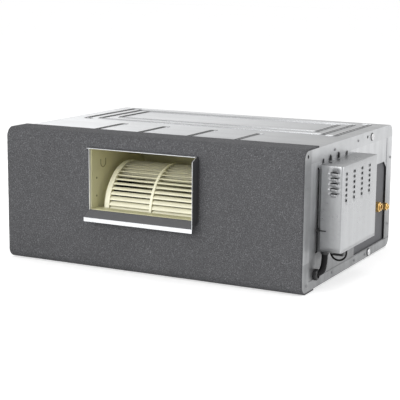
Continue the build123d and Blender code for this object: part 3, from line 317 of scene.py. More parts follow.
finishes = {
    # painted reflection and shade on the top sheet: darker towards the +X end and along the front edge, painted shade
    # in the grooves, lighter on faces turned to +X
    "top": zincSheet("zincTop", tone=0.60, gloss=0.34, flakeDepth=0.02, streaks=0.16, streakWay=(0.1, 1.0, 1.0),
                     sunk=0.28,
                     paintedShadingFades=(("X", -0.1, 0.5, -0.34, 0.2), ("Y", -0.318, -0.330, -0.15, 0.0)),
                     facing=(("X", 0.5, 0.9, 0.26),)),
    # painted light and shade on the pressed lips: lighter towards the +X end, darker on faces turned to +Y and +X, a
    # little lighter on faces turned to -X
    "lips": zincSheet("zincLips", tone=0.44, gloss=0.24, flakeDepth=0.02, paintedShadingFades=(("X", 0.05, 0.35, 0.26, 0.1),),
                      facing=(("Y", 0.2, 0.8, -0.30), ("X", 0.1, 0.6, -0.70), ("X", -0.2, -0.8, 0.1))),
    # painted shade: the end sheet darkens towards the bottom
    "end": zincSheet("zincEnd", tone=0.62, gloss=0.36, flakeDepth=0.03, streaks=0.30,
                     paintedShadingFades=(("Z", 0.38, 0.08, -0.40, 0.2),)),
    "leg": zincSheet("zincLeg", tone=0.36, gloss=0.40, flakeDepth=0.03, streaks=0.45),
    "base": zincSheet("zincBase", tone=0.26, gloss=0.36, flakeDepth=0.03, streaks=0.3),
    "band": zincSheet("zincBand", tone=0.40, gloss=0.36, flakeDepth=0.03, streaks=0.3),
    # painted shade: the box cover is darker on its upward, front (-Y) and +X faces
    "box": zincSheet("zincBox", tone=0.60, gloss=0.30, flakeDepth=0.02, streaks=0.12,
                     facing=(("Z", 0.6, 0.9, -0.34), ("Y", -0.6, -0.9, -0.27), ("X", 0.6, 0.9, -0.16))),
    "inner": zincSheet("zincInner", tone=0.45, gloss=0.42),
    "lip": zincSheet("zincLip", tone=0.72, gloss=0.30, flakeDepth=0.02),
    "foam": foamSkin("foamFace", 0.071),
    # painted shade: near-black foam tape on the collar's right wall stands in for the shade on that wall
    "shadeTape": foamSkin("paintedShadeTape", 0.036, speckle=0.25),
    "pad": foamSkin("foamPad", 0.15, speckle=0.2),
    # painted shade: a dark grey foam-textured pad stands in for the shaded top of the outlet's bottom flange
    "sillShadePad": foamSkin("paintedShadeSill", 0.125, speckle=0.15),
    "scroll": mouldedPlastic("creamHousing", (0.62, 0.60, 0.38), (0.54, 0.51, 0.31)),
    # painted shade: a darker copy of the housing plastic for the moulded marks
    "markShade": mouldedPlastic("housingMarkShade", (0.26, 0.25, 0.14), (0.20, 0.19, 0.11)),
    "wheel": mouldedPlastic("creamWheel", (0.90, 0.88, 0.70), (0.84, 0.81, 0.62), dust=0.04),
    "black": mouldedPlastic("blackPlastic", (0.016, 0.016, 0.017), (0.022, 0.022, 0.024), gloss=0.4, dust=0.03),
    "white": mouldedPlastic("whitePlastic", (0.72, 0.72, 0.70), (0.66, 0.66, 0.63)),
    "rubber": darkRubber("blackSheath"),
    "copper": drawnMetal("copperPipe", (0.80, 0.38, 0.22), (0.32, 0.13, 0.07), gloss=0.28),
    "brass": drawnMetal("brassNut", (0.86, 0.58, 0.22), (0.42, 0.22, 0.06), gloss=0.18),
    "steel": drawnMetal("turnedSteel", (0.52, 0.52, 0.53), (0.22, 0.20, 0.19), gloss=0.28),
    "darkScrew": drawnMetal("dullScrew", (0.30, 0.30, 0.31), (0.14, 0.13, 0.12), gloss=0.34, amount=0.3),
    "screw": drawnMetal("zincScrew", (0.70, 0.70, 0.71), (0.40, 0.38, 0.34), gloss=0.22, amount=0.3),
    "alloy": drawnMetal("alloyCan", (0.74, 0.75, 0.76), (0.5, 0.5, 0.5), gloss=0.26, amount=0.3),
    "fins": finStock("coilFins"),
    "screen": screenCloth("filterScreen"),
    "board": solderMask("greenBoard"),
    "core": laminations("coreSteel"),
}

nodeFinish = {
    "top_panel": "top", "base_panel": "base", "front_panel": "leg", "front_foam": "foam",
    "left_end_panel": "end", "right_fan_panel": "end", "right_coil_panel": "end", "rear_frame": "end",
    # painted shade: collar_seal gets the near-black shade tape and sill_pad the dark shade pad
    "outlet_collar": "lip", "collar_seal": "shadeTape", "sill_pad": "sillShadePad",
    "scroll_upper": "scroll", "scroll_lower": "scroll", "scroll_screws": "screw",
    "inlet_ring_left": "scroll", "inlet_ring_right": "scroll",
    "fan_wheel": "wheel", "wheel_hub": "steel", "fan_shaft": "steel", "shaft_bearing": "steel",
    "bearing_stand": "inner", "motor_shell": "steel", "motor_stator": "core", "motor_rotor": "steel",
    "motor_rubbers": "rubber", "motor_cradle": "inner",
    "coil_fins": "fins", "coil_tubes": "copper", "coil_return_bends": "copper",
    "coil_end_plate_left": "inner", "coil_end_plate_right": "inner",
    "gas_header": "copper", "liquid_header": "copper", "gas_fitting": "brass", "liquid_fitting": "brass",
    "gas_flare_nut": "brass", "liquid_flare_nut": "brass",
    "pipe_panel": "inner", "pipe_panel_foam": "pad", "drain_pan": "white", "drain_stub": "black",
    "filter_rails": "inner", "filter_frame": "black", "filter_mesh": "screen",
    "control_tray": "inner", "control_cover": "box", "cover_screws": "screw",
    "circuit_board": "board", "relays": "black", "transformer": "core", "run_capacitor": "alloy",
    "terminal_block": "white", "conduit": "rubber", "conduit_bushes": "black", "loop_lead": "rubber",
    "cable_block": "black", "side_lead": "rubber", "lead_hook": "black",
    "casing_screws": "screw", "hanger_nuts": "screw",
}


def dress(piece, finish):
    piece.data.materials.clear()
    piece.data.materials.append(finishes[finish])


for nodeName, finishName in nodeFinish.items():
    dress(nodes[nodeName], finishName)
print("materials done")


# Helpers that turn rings and grids of points into pieces
def addPiece(name, bm, finish, body, sharp=40.0):
    bmesh.ops.recalc_face_normals(bm, faces=bm.faces)
    mesh = bpy.data.meshes.new(name)
    bm.to_mesh(mesh)
    bm.free()
    for face in mesh.polygons:
        face.use_smooth = True
    mesh.set_sharp_from_angle(angle=math.radians(sharp))
    piece = bpy.data.objects.new(name, mesh)
    bpy.context.collection.objects.link(piece)
    dress(piece, finish)
    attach(piece, body)
    return piece


def addRings(bm, rings, closed=False):
    grid = [[bm.verts.new(point) for point in ring] for ring in rings]
    count = len(grid[0])
    pairs = list(zip(grid, grid[1:]))
    if closed:
        pairs.append((grid[-1], grid[0]))
    for first, second in pairs:
        for i in range(count):
            j = (i + 1) % count
            bm.faces.new((first[i], first[j], second[j], second[i]))
    if not closed:
        bm.faces.new(list(reversed(grid[0])))
        bm.faces.new(grid[-1])


def axes(direction):
    along = Vector(direction).normalized()
    side = along.orthogonal().normalized()
    return along, side, along.cross(side)


def addLathe(bm, profile, centre, direction, segments=32, closed=False, shape=None):
    along, side, up = axes(direction)
    rings = []
    for distance, r in profile:
        ring = []
        for i in range(segments):
            angle = 2 * math.pi * i / segments
            reach = shape(angle, r) if shape else r
            spoke = side * math.cos(angle) + up * math.sin(angle)
            ring.append((Vector(centre) + along * distance + spoke * reach) * mm)
        rings.append(ring)
    addRings(bm, rings, closed)


def addBox(bm, low, high, round=0.0):
    low, high = Vector(low) * mm, Vector(high) * mm
    made = bmesh.ops.create_cube(bm, size=1.0)["verts"]
    for vert in made:
        vert.co = (low + high) / 2 + Vector(a * b for a, b in zip(vert.co, high - low))
    if round:
        edges = list({edge for vert in made for edge in vert.link_edges})
        bmesh.ops.bevel(bm, geom=edges, offset=round * mm, segments=2, affect="EDGES", profile=0.6)


def addSheet(bm, rows, skip=None):
    grid = [[bm.verts.new(point) for point in row] for row in rows]
    for i in range(len(grid) - 1):
        for j in range(len(grid[0]) - 1):
            if skip is None or not skip(i, j):
                bm.faces.new((grid[i][j], grid[i][j + 1], grid[i + 1][j + 1], grid[i + 1][j]))
    return grid


def thicken(piece, thickness, offset=-1.0):
    solid = piece.modifiers.new("thickness", "SOLIDIFY")
    solid.thickness = thickness * mm
    solid.offset = offset
    solid.use_even_offset = True


def cuts(stops, step):
    places = [stops[0]]
    for low, high in zip(stops, stops[1:]):
        count = max(1, round(abs(high - low) / step))
        places += [low + (high - low) * (i + 1) / count for i in range(count)]
    return places


def smoothPath(points, perRun=10):
    curve = bpy.data.curves.new("route", "CURVE")
    curve.dimensions = "3D"
    curve.resolution_u = perRun
    spline = curve.splines.new("NURBS")
    spline.points.add(len(points) - 1)
    for point, place in zip(spline.points, points):
        point.co = (*place, 1.0)
    spline.order_u = 3
    spline.use_endpoint_u = True
    holder = bpy.data.objects.new("route", curve)
    mesh = bpy.data.meshes.new_from_object(holder)
    path = [vert.co.copy() for vert in mesh.vertices]
    bpy.data.meshes.remove(mesh)
    bpy.data.objects.remove(holder)
    bpy.data.curves.remove(curve)
    return path


def evenPath(path, step):
    lengths = [0.0]
    for first, second in zip(path, path[1:]):
        lengths.append(lengths[-1] + (second - first).length)
    count = max(2, round(lengths[-1] / step))
    places = []
    index = 0
    for i in range(count + 1):
        target = lengths[-1] * i / count
        while index < len(path) - 2 and lengths[index + 1] < target:
            index += 1
        share = (target - lengths[index]) / (lengths[index + 1] - lengths[index])
        places.append(path[index].lerp(path[index + 1], min(1.0, share)))
    return places


def addTube(bm, path, radii, segments=16):
    side = (path[1] - path[0]).orthogonal().normalized()
    rings = []
    for i, place in enumerate(path):
        ahead = path[min(i + 1, len(path) - 1)] - path[max(i - 1, 0)]
        along = ahead.normalized()
        side = (side - along * side.dot(along)).normalized()
        up = along.cross(side)
        r = radii(i) if callable(radii) else radii
        angles = [2 * math.pi * k / segments for k in range(segments)]
        rings.append([(place + (side * math.cos(a) + up * math.sin(a)) * r) * mm for a in angles])
    addRings(bm, rings)


# Foam board that wraps the front of the case, with its hand-cut edges
foamBoard = {"front": -377.5, "top": 415.0, "bend": 30.0, "topWrap": 108.0, "baseWrap": 92.0, "thick": 5.0,
             "half": 500.0, "openX": (-199.4, 172.4), "openZ": (179.6, 372.4), "step": 7.0,
             "ragged": 0.9, "uneven": 0.45, "dent": 60.0}


def foamProfile():
    b = foamBoard
    y0, bend = b["front"], b["bend"]
    stations = [(y, b["top"], 0, 1) for y in cuts([y0 + b["topWrap"], y0 + bend], b["step"])]
    for i in range(1, 9):
        a = math.pi / 2 * i / 8
        stations.append((y0 + bend * (1 - math.sin(a)), b["top"] - bend * (1 - math.cos(a)), -math.sin(a), math.cos(a)))
    openLow, openHigh = b["openZ"]
    walls = cuts([b["top"] - bend, openHigh, openLow, bend], b["step"])
    stations += [(y0, z, -1, 0) for z in walls[1:]]
    for i in range(1, 9):
        a = math.pi / 2 * i / 8
        stations.append((y0 + bend * (1 - math.cos(a)), bend * (1 - math.sin(a)), -math.cos(a), -math.sin(a)))
    stations += [(y, 0.0, 0, -1) for y in cuts([y0 + bend, y0 + b["baseWrap"]], b["step"])[1:]]
    return stations


def makeFoam():
    b = foamBoard
    left, right = b["openX"]
    low, high = b["openZ"]
    xs = cuts([-b["half"], left, right, b["half"]], b["step"])
    profile = foamProfile()
    last = len(profile) - 1
    rows = []
    for k, (y, z, ny, nz) in enumerate(profile):
        row = []
        for i, x in enumerate(xs):
            spot = Vector((x, y, z))
            dip = b["uneven"] * (0.5 + 0.5 * noise.noise(spot / b["dent"]) + 0.3 * noise.noise(spot / 9.0))
            rough = b["ragged"] * abs(noise.noise(spot / 5.0)) + b["ragged"] * abs(noise.noise(spot / 31.0))
            spot -= Vector((0, ny, nz)) * max(0.0, dip)
            if i in (0, len(xs) - 1):
                spot.x -= math.copysign(rough, x)
            if k in (0, last):
                spot.y -= rough * 1.4
            row.append(spot * mm)
        rows.append(row)

    def inOpening(k, i):
        z = (profile[k][1] + profile[k + 1][1]) / 2
        x = (xs[i] + xs[i + 1]) / 2
        return profile[k][0] == b["front"] and low < z < high and left < x < right

    bm = bmesh.new()
    addSheet(bm, rows, inOpening)
    for vert in [vert for vert in bm.verts if not vert.link_faces]:
        bm.verts.remove(vert)
    piece = addPiece("foamBoard", bm, "foam", "casing", sharp=50.0)
    thicken(piece, b["thick"] - 0.4)
    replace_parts(piece, "front_foam")


makeFoam()
print("foam board done")


# Cover of the control box: folded sheet with pressed louvres and scoops
cover = {"wall": 500.0, "face": 573.0, "front": -267.5, "back": 22.5, "low": 111.0, "high": 360.0, "bend": 7.0,
         "thick": 1.2, "edge": 1.6, "louvreX": (535.0, 556.0), "louvreTop": 340.4, "louvrePitch": 15.0, "louvres": 5,
         "scoopY": -233.5, "scoopPitch": 64.0, "scoopColumns": 4, "scoopTop": 336.0, "scoopDrop": 15.2, "scoopRows": 6,
         "scoopHole": (-8.0, 0.5), "scoopDome": (-3.0, 11.0), "scoopHigh": 7.4, "slot": 2.6, "hood": 8.8,
         "louvreReach": 2.4, "scoopReach": 2.3,
         "screwZ": (153.0, 320.0), "screwX": 510.8}


def coverPlan():
    c = cover
    r = c["bend"]
    places = [(x, c["front"]) for x in cuts([c["wall"], *c["louvreX"], c["face"] - r], 8.0)]
    for i in range(1, 7):
        a = math.pi / 2 * i / 6
        places.append((c["face"] - r * (1 - math.sin(a)), c["front"] + r * (1 - math.cos(a))))
    stops = [c["front"] + r]
    for column in range(c["scoopColumns"]):
        middle = c["scoopY"] + c["scoopPitch"] * column
        stops += [middle + side for side in c["scoopHole"]]
    places += [(c["face"], y) for y in cuts([*stops, c["back"] - r], 12.0)[1:]]
    for i in range(1, 7):
        a = math.pi / 2 * i / 6
        places.append((c["face"] - r * (1 - math.cos(a)), c["back"] - r * (1 - math.sin(a))))
    places += [(x, c["back"]) for x in cuts([c["face"] - r, c["wall"]], 8.0)[1:]]
    return places


def slotHeights():
    c = cover
    fronts = [c["louvreTop"] - c["louvrePitch"] * i for i in range(c["louvres"])]
    faces = [c["scoopTop"] - c["scoopDrop"] * i for i in range(c["scoopRows"])]
    stops = [z + side * c["slot"] / 2 for z in fronts for side in (-1, 1)]
    stops += [z + side * c["scoopHigh"] / 2 for z in faces for side in (-1, 0, 1)]
    kept = [c["low"]]
    for z in sorted(stops):
        if z - kept[-1] > 0.02:
            kept.append(z)
    return cuts([*kept, c["high"] - c["edge"]], 14.0), fronts, faces


def addHood(bm, middle, across, outward, width, reach, height):
    rows = []
    for k in range(6):
        share = k / 5
        row = []
        for i in range(11):
            u = -1 + 2 * i / 10
            rise = reach * math.sin(share * math.pi / 2) * math.sqrt(max(0.0, 1 - abs(u) ** 8))
            drop = -height * (1 - share) * math.sqrt(max(0.0, 1 - abs(u) ** 6) * 0.8 + 0.2)
            row.append((Vector(middle) + Vector(across) * (u * width / 2) + Vector(outward) * rise + Vector((0, 0, drop))) * mm)
        rows.append(row)
    addSheet(bm, rows)


def addScoop(bm, y, z):
    c = cover
    lip, tail = c["scoopDome"]
    rows = []
    for k in range(9):
        share = k / 8
        full = math.sqrt(max(0.0, 1 - share ** 2))
        row = []
        for i in range(11):
            a = math.pi * i / 10
            side = math.cos(a) * (c["scoopHigh"] / 2 + 0.6) * (0.25 + 0.75 * full)
            rise = c["scoopReach"] * math.sin(a) ** 0.7 * full
            row.append(Vector((c["face"] + rise, y + lip + (tail - lip) * share, z + side)) * mm)
        rows.append(row)
    addSheet(bm, rows)


def makeCover():
    c = cover
    plan = coverPlan()
    heights, fronts, faces = slotHeights()
    half = c["slot"] / 2
    bm = bmesh.new()
    rows = [[Vector((x, y, z)) * mm for x, y in plan] for z in heights]
    centre = Vector(((c["wall"] + c["face"]) / 2, (c["front"] + c["back"]) / 2))

    def inSlot(k, i):
        z = (heights[k] + heights[k + 1]) / 2
        x = (plan[i][0] + plan[i + 1][0]) / 2
        y = (plan[i][1] + plan[i + 1][1]) / 2
        if y < c["front"] + 0.01 and c["louvreX"][0] < x < c["louvreX"][1]:
            return any(abs(z - at) < half for at in fronts)
        if x > c["face"] - 0.01:
            column = round((y - c["scoopY"]) / c["scoopPitch"])
            first, last = c["scoopHole"]
            inside = first < y - c["scoopY"] - c["scoopPitch"] * column < last
            return inside and 0 <= column < c["scoopColumns"] and any(abs(z - at) < c["scoopHigh"] / 2 for at in faces)
        return False

    grid = addSheet(bm, rows, inSlot)
    rim = grid[-1]
    for inset, z in ((0.35, c["high"] - 0.4), (1.6, c["high"])):
        ring = []
        for (x, y) in plan:
            dx = 0.0 if x <= c["wall"] else -inset * (1 if x >= c["face"] - c["bend"] else 0)
            dy = inset if y < centre.y else -inset
            dy *= 1 if y < c["front"] + c["bend"] or y > c["back"] - c["bend"] else 0
            ring.append(bm.verts.new(Vector((x + dx, y + dy, z)) * mm))
        for i in range(len(rim) - 1):
            bm.faces.new((rim[i], rim[i + 1], ring[i + 1], ring[i]))
        rim = ring
    bm.faces.new(rim)
    for vert in [vert for vert in bm.verts if not vert.link_faces]:
        bm.verts.remove(vert)
    x0, x1 = c["louvreX"]
    for z in fronts:
        addHood(bm, ((x0 + x1) / 2, c["front"], z - half), (1, 0, 0), (0, -1, 0), x1 - x0 + 1, c["louvreReach"], c["hood"])
    for column in range(c["scoopColumns"]):
        for z in faces:
            addScoop(bm, c["scoopY"] + c["scoopPitch"] * column, z)
    piece = addPiece("boxCover", bm, "box", "cover", sharp=35.0)
    thicken(piece, c["thick"])
    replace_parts(piece, "control_cover")


makeCover()
print("control cover done")


# Corrugated conduit with its two glands
hose = {"route": ((519.5, -254.0, 119.0), (519.5, -254.0, 77.0), (519.5, -280.0, 45.0), (474.0, -280.0, 45.0)),
        "crest": 9.6, "root": 8.5, "pitch": 3.6, "nutFlats": 29.0}


def hexReach(flats):
    def shape(angle, r):
        turned = (angle + math.pi / 6) % (math.pi / 3) - math.pi / 6
        return min(r, flats / 2 / math.cos(turned))
    return shape


def makeConduit():
    steps = 6
    path = evenPath(smoothPath(hose["route"], 24), hose["pitch"] / steps)
    middle = (hose["crest"] + hose["root"]) / 2
    swing = (hose["crest"] - hose["root"]) / 2

    def ridge(i):
        wave = math.sin(2 * math.pi * i / steps)
        return middle + swing * math.copysign(abs(wave) ** 0.5, wave)

    bm = bmesh.new()
    addTube(bm, path, ridge, 24)
    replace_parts(addPiece("conduitHose", bm, "rubber", "casing", sharp=60.0), "conduit")
    bm = bmesh.new()
    x, y, z = hose["route"][-1]
    flats = hexReach(hose["nutFlats"])
    inner = hose["crest"] + 0.3
    nut = [(0.0, 16.6), (1.2, 16.6), (1.2, 15.6), (2.0, 16.8), (9.0, 16.8), (10.5, 14.6), (12.5, 12.0), (12.5, inner), (0.0, inner)]
    addLathe(bm, nut, (499.3, y, z), (1, 0, 0), 48, True, flats)
    x, y, z = hose["route"][0]
    ring = [(0.0, 13.4), (2.2, 13.4), (3.0, 12.4), (8.0, 11.8), (9.0, 11.0), (9.0, inner), (0.0, inner)]
    addLathe(bm, ring, (x, y, 110.6), (0, 0, -1), 40, True)
    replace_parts(addPiece("conduitGlands", bm, "black", "casing"), "conduit_bushes")


makeConduit()


# Flare nuts with chamfered corners, a rolled collar and threads inside
nuts = {
    "gas": {"y": 216.0, "z": 160.0, "flats": 29.0, "length": 24.0, "bore": 8.04, "thread": 11.2, "node": "gas_flare_nut"},
    "liquid": {"y": 300.0, "z": 147.0, "flats": 22.0, "length": 20.0, "bore": 4.86, "thread": 8.04,
               "node": "liquid_flare_nut"},
}
nutShape = {"start": 500.9, "collar": 5.0, "collarLess": 3.0, "chamfer": 2.0, "floor": 8.0, "threadPitch": 1.5,
            "threadDepth": 0.8}


def makeNut(name, nut):
    s = nutShape
    flat = nut["flats"] / 2
    corner = nut["flats"] / math.sqrt(3)
    length, collar = nut["length"], s["collar"]
    bodyEnd = length - collar
    profile = [(0.0, flat - 0.6), (s["chamfer"] * 0.5, (flat + corner) / 2), (s["chamfer"], corner + 0.01)]
    profile += [(bodyEnd - s["chamfer"], corner + 0.01), (bodyEnd - s["chamfer"] * 0.5, (flat + corner) / 2)]
    neck = flat - s["collarLess"]
    profile += [(bodyEnd, flat - 0.6), (bodyEnd, neck + 0.6), (bodyEnd + 0.6, neck), (length - 1.0, neck)]
    profile += [(length, neck - 1.0), (length, nut["bore"] + 0.5), (length - 0.5, nut["bore"])]
    inside = length - s["floor"]
    profile += [(inside, nut["bore"]), (inside - 0.5, nut["thread"])]
    turns = int((inside - 2.0) / s["threadPitch"])
    for i in range(turns):
        at = inside - 1.0 - s["threadPitch"] * i
        profile += [(at, nut["thread"]), (at - s["threadPitch"] / 2, nut["thread"] - s["threadDepth"])]
    profile += [(0.6, nut["thread"]), (0.0, nut["thread"] + 0.5)]
    bm = bmesh.new()
    addLathe(bm, profile, (s["start"], nut["y"], nut["z"]), (1, 0, 0), 72, True, hexReach(nut["flats"]))
    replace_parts(addPiece(name + "Nut", bm, "brass", nut["node"].replace("_flare", ""), sharp=22.0), nut["node"])


for nutName, nut in nuts.items():
    makeNut(nutName, nut)
print("conduit and nuts done")


# Pan-head screws with a cross recess
screwShape = {"r": 4.2, "high": 2.4, "shank": 2.0, "cross": 0.62, "crossReach": 2.5, "crossDeep": 1.2}


def addScrew(bm, place, outward, length):
    s = screwShape
    along, side, up = axes(outward)
    rings = [[(-length, s["shank"] * 0.4)], [(-length + 1.5, s["shank"])], [(0.0, s["shank"])], [(0.0, s["r"])]]
    profile = [ring[0] for ring in rings]
    for i in range(6):
        a = math.pi / 2 * i / 5.4
        profile.append((s["high"] * (0.35 + 0.65 * math.sin(a)), s["r"] * math.cos(a) ** 0.45))
    profile += [(s["high"], 2.9), (s["high"], s["crossReach"]), (s["high"], 1.6), (s["high"], 0.9)]
    grid = []
    for distance, r in profile:
        ring = []
        for i in range(32):
            angle = 2 * math.pi * i / 32
            spoke = Vector((math.cos(angle), math.sin(angle)))
            sunk = distance
            if r <= s["crossReach"] and distance >= s["high"]:
                near = min(abs(spoke.x * r), abs(spoke.y * r))
                sunk -= s["crossDeep"] if near < s["cross"] else 0.0
            ring.append((Vector(place) + along * sunk + (side * spoke.x + up * spoke.y) * r) * mm)
        grid.append(ring)
    addRings(bm, grid)


sideScrews = ((-148.5, 390.0), (48.5, 392.0), (47.5, 18.0), (142.5, 18.0), (-141.5, 21.0), (357.5, 302.0), (357.5, 79.0),
              (-340.0, 24.0))


def makeScrews():
    bm = bmesh.new()
    for side in (-1, 1):
        for y, z in sideScrews:
            addScrew(bm, (side * 500.0, y, z), (side, 0, 0), 8.0)
    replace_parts(addPiece("casingScrews", bm, "darkScrew", "casing"), "casing_screws")
    bm = bmesh.new()
    for z in cover["screwZ"]:
        addScrew(bm, (cover["screwX"], cover["back"], z), (0, 1, 0), 8.0)
    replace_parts(addPiece("coverScrews", bm, "screw", "cover"), "cover_screws")


makeScrews()


# Threaded inserts: a bright flanged sleeve on a dark ring that stands in for the shadow around it (painted shade)
insert = {"y": 174.0, "z": (390.0, 19.0), "flange": 10.5, "ring": 12.6, "bore": 4.3, "sleeve": 6.5, "length": 14.0,
          "thick": 3.6}


def makeInserts():
    i = insert
    bright, dark = bmesh.new(), bmesh.new()
    rim = i["flange"]
    top = i["thick"]
    sleeve = [(-i["length"], i["sleeve"]), (0.2, i["sleeve"]), (0.2, rim), (top - 0.8, rim), (top, rim - 0.8)]
    sleeve += [(top, i["bore"] + 1.2), (top - 0.8, i["bore"] + 0.5)]
    for turn in range(9):
        sleeve += [(1.0 - turn * 1.5, i["bore"]), (0.25 - turn * 1.5, i["bore"] + 0.6)]
    sleeve.append((-i["length"], i["bore"]))
    ring = [(0.0, rim - 0.8), (0.0, i["ring"]), (0.7, i["ring"]), (1.0, i["ring"] - 0.4), (1.0, rim + 0.05), (0.15, rim + 0.05)]
    ring.append((0.15, rim - 0.8))
    for side in (-1, 1):
        for z in i["z"]:
            addLathe(bright, sleeve, (side * 500.0, i["y"], z), (side, 0, 0), 40, True)
            addLathe(dark, ring, (side * 500.0, i["y"], z), (side, 0, 0), 40, True)
    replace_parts(addPiece("threadInserts", bright, "screw", "casing"), "hanger_nuts")
    # painted shade: the near-black ring reaching past each flange stands in for its shadow
    addPiece("insertShadowRings", dark, "rubber", "casing")


makeInserts()
print("screws and inserts done")


# Raised lips that the press leaves along both sides of each line in the top sheet
pressed = {"top": 410.0, "corner": 10.0, "aside": 5.2, "wide": 5.0, "high": 2.2, "sunk": 0.4, "step": 12.0,
           "front": -372.5, "back": 372.5, "half": 500.0, "loops": ((142.0, 430.5, 115.5), (99.0, 372.5, 90.5)),
           "openLoop": (54.0, 357.5, 64.5), "openHook": 26.0,
           "shortX": (-254.0, -100.0, 70.0, 227.0), "short": (110.5, 284.5, 16.0)}


def roundedLine(points, radius, closed):
    line = []
    count = len(points)
    for i, point in enumerate(points):
        here = Vector(point)
        if not closed and i in (0, count - 1):
            line.append(here)
            continue
        before = (Vector(points[i - 1]) - here).normalized()
        after = (Vector(points[(i + 1) % count]) - here).normalized()
        centre = here + (before + after) * radius
        for k in range(7):
            a = math.pi / 2 * k / 6
            line.append(centre - after * radius * math.cos(a) - before * radius * math.sin(a))
    if closed:
        line.append(line[0])
    return evenPath(line, pressed["step"] / 3)


def pressedLines():
    p = pressed
    lines = []
    for side, front, back in p["loops"]:
        x, y0, y1 = p["half"] - side, p["front"] + front, p["back"] - back
        lines.append(((( -x, y0), (x, y0), (x, y1), (-x, y1)), True))
    side, front, back = p["openLoop"]
    x, y0, y1 = p["half"] - side, p["front"] + front, p["back"] - back
    for way in (-1, 1):
        inner = way * (x - p["openHook"])
        lines.append((((inner, y0), (way * x, y0), (way * x, y1), (inner, y1)), False))
    start, end, hook = p["short"]
    for x in p["shortX"]:
        lines.append((((x, p["front"] + start), (x, p["front"] + end), (x + hook, p["front"] + end)), False))
    return lines


def makeLips():
    p = pressed
    bm = bmesh.new()
    for points, closed in pressedLines():
        path = roundedLine(points, p["corner"], closed)
        if closed:
            path = path[:-1]
        count = len(path)
        for side in (-1, 1):
            rings = []
            for i, place in enumerate(path):
                first = path[i - 1] if closed else path[max(i - 1, 0)]
                last = path[(i + 1) % count] if closed else path[min(i + 1, count - 1)]
                along = (last - first).normalized()
                across = Vector((along.y, -along.x)) * side
                ring = []
                for k in range(8):
                    a = math.pi * k / 7
                    spot = place + across * (p["aside"] + p["wide"] / 2 * math.cos(a))
                    ring.append(Vector((spot.x, spot.y, p["top"] + p["high"] * math.sin(a) - p["sunk"])) * mm)
                rings.append(ring)
            addRings(bm, rings, closed)
    addPiece("pressedLips", bm, "lips", "casing", sharp=60.0)


makeLips()
print("pressed lips done")


# Black pieces on the hook tabs above the control box, standing in for the shade in the tab slots (painted shade)
slotShades = {"y": (-182.5, -118.5), "cutY": (-236.5, -48.5), "x": (500.3, 504.2), "z": (361.5, 376.0), "half": 3.4}


def makeSlotShades():
    bm = bmesh.new()
    low, high = slotShades["z"]
    for y in slotShades["y"]:
        addBox(bm, (slotShades["x"][0], y - slotShades["half"], low), (slotShades["x"][1], y + slotShades["half"], high), 0.8)
        addBox(bm, (slotShades["x"][0], y - 1.2, high - 0.5), (slotShades["x"][1] - 1.4, y + 1.2, high + 3.0), 0.5)
    for y in slotShades["cutY"]:
        addBox(bm, (slotShades["x"][0], y - 1.4, low), (slotShades["x"][1] - 1.6, y + 1.4, high - 2.0), 0.4)
    # painted shade: near-black blocks where the tab slots show dark
    addPiece("tabSlotShadows", bm, "black", "cover")


makeSlotShades()


# Moulded marks on the left cheek of the blower housing, in a darker copy of the housing plastic as painted shade
marks = {"x": -195.2, "r": 3.4, "high": 1.4, "dots": ((-340.5, 275.0), (-341.5, 220.0)), "hook": (-303.0, 318.0),
         "hookR": 14.0}


def makeMarks():
    bm = bmesh.new()
    for y, z in marks["dots"]:
        r, high = marks["r"], marks["high"]
        addLathe(bm, [(0.0, r), (high * 0.6, r), (high, r - 0.6), (high, 1.2), (0.4, 1.0)], (marks["x"], y, z), (1, 0, 0), 24)
    y, z = marks["hook"]
    r = marks["hookR"]
    path = [(marks["x"] + 0.8, y - r, z + 12.0)]
    path += [(marks["x"] + 0.8, y - r * math.cos(math.pi * i / 16), z - r * math.sin(math.pi * i / 16)) for i in range(17)]
    path.append((marks["x"] + 0.8, y + r, z + 12.0))
    path = evenPath([Vector(point) for point in path], 2.0)
    addTube(bm, path, lambda i: 1.3, 10)
    addPiece("housingMarks", bm, "markShade", "casing")


makeMarks()
print("clips and marks done")


# Parts on the circuit board, the winding and the terminals
boardParts = {"x": 509.6, "cans": ((-52.0, 318.0, 5.0, 12.0), (-66.0, 318.0, 5.0, 12.0), (-52.0, 302.0, 4.0, 9.0)),
              "chips": ((-120.0, 300.0, 18.0, 9.0), (-96.0, 262.0, 10.0, 14.0), (-170.0, 318.0, 9.0, 20.0)),
              "plugs": ((-188.0, 250.0, 24.0), (-188.0, 218.0, 18.0), (-60.0, 204.0, 34.0), (-120.0, 204.0, 26.0)),
              "resistors": 14}


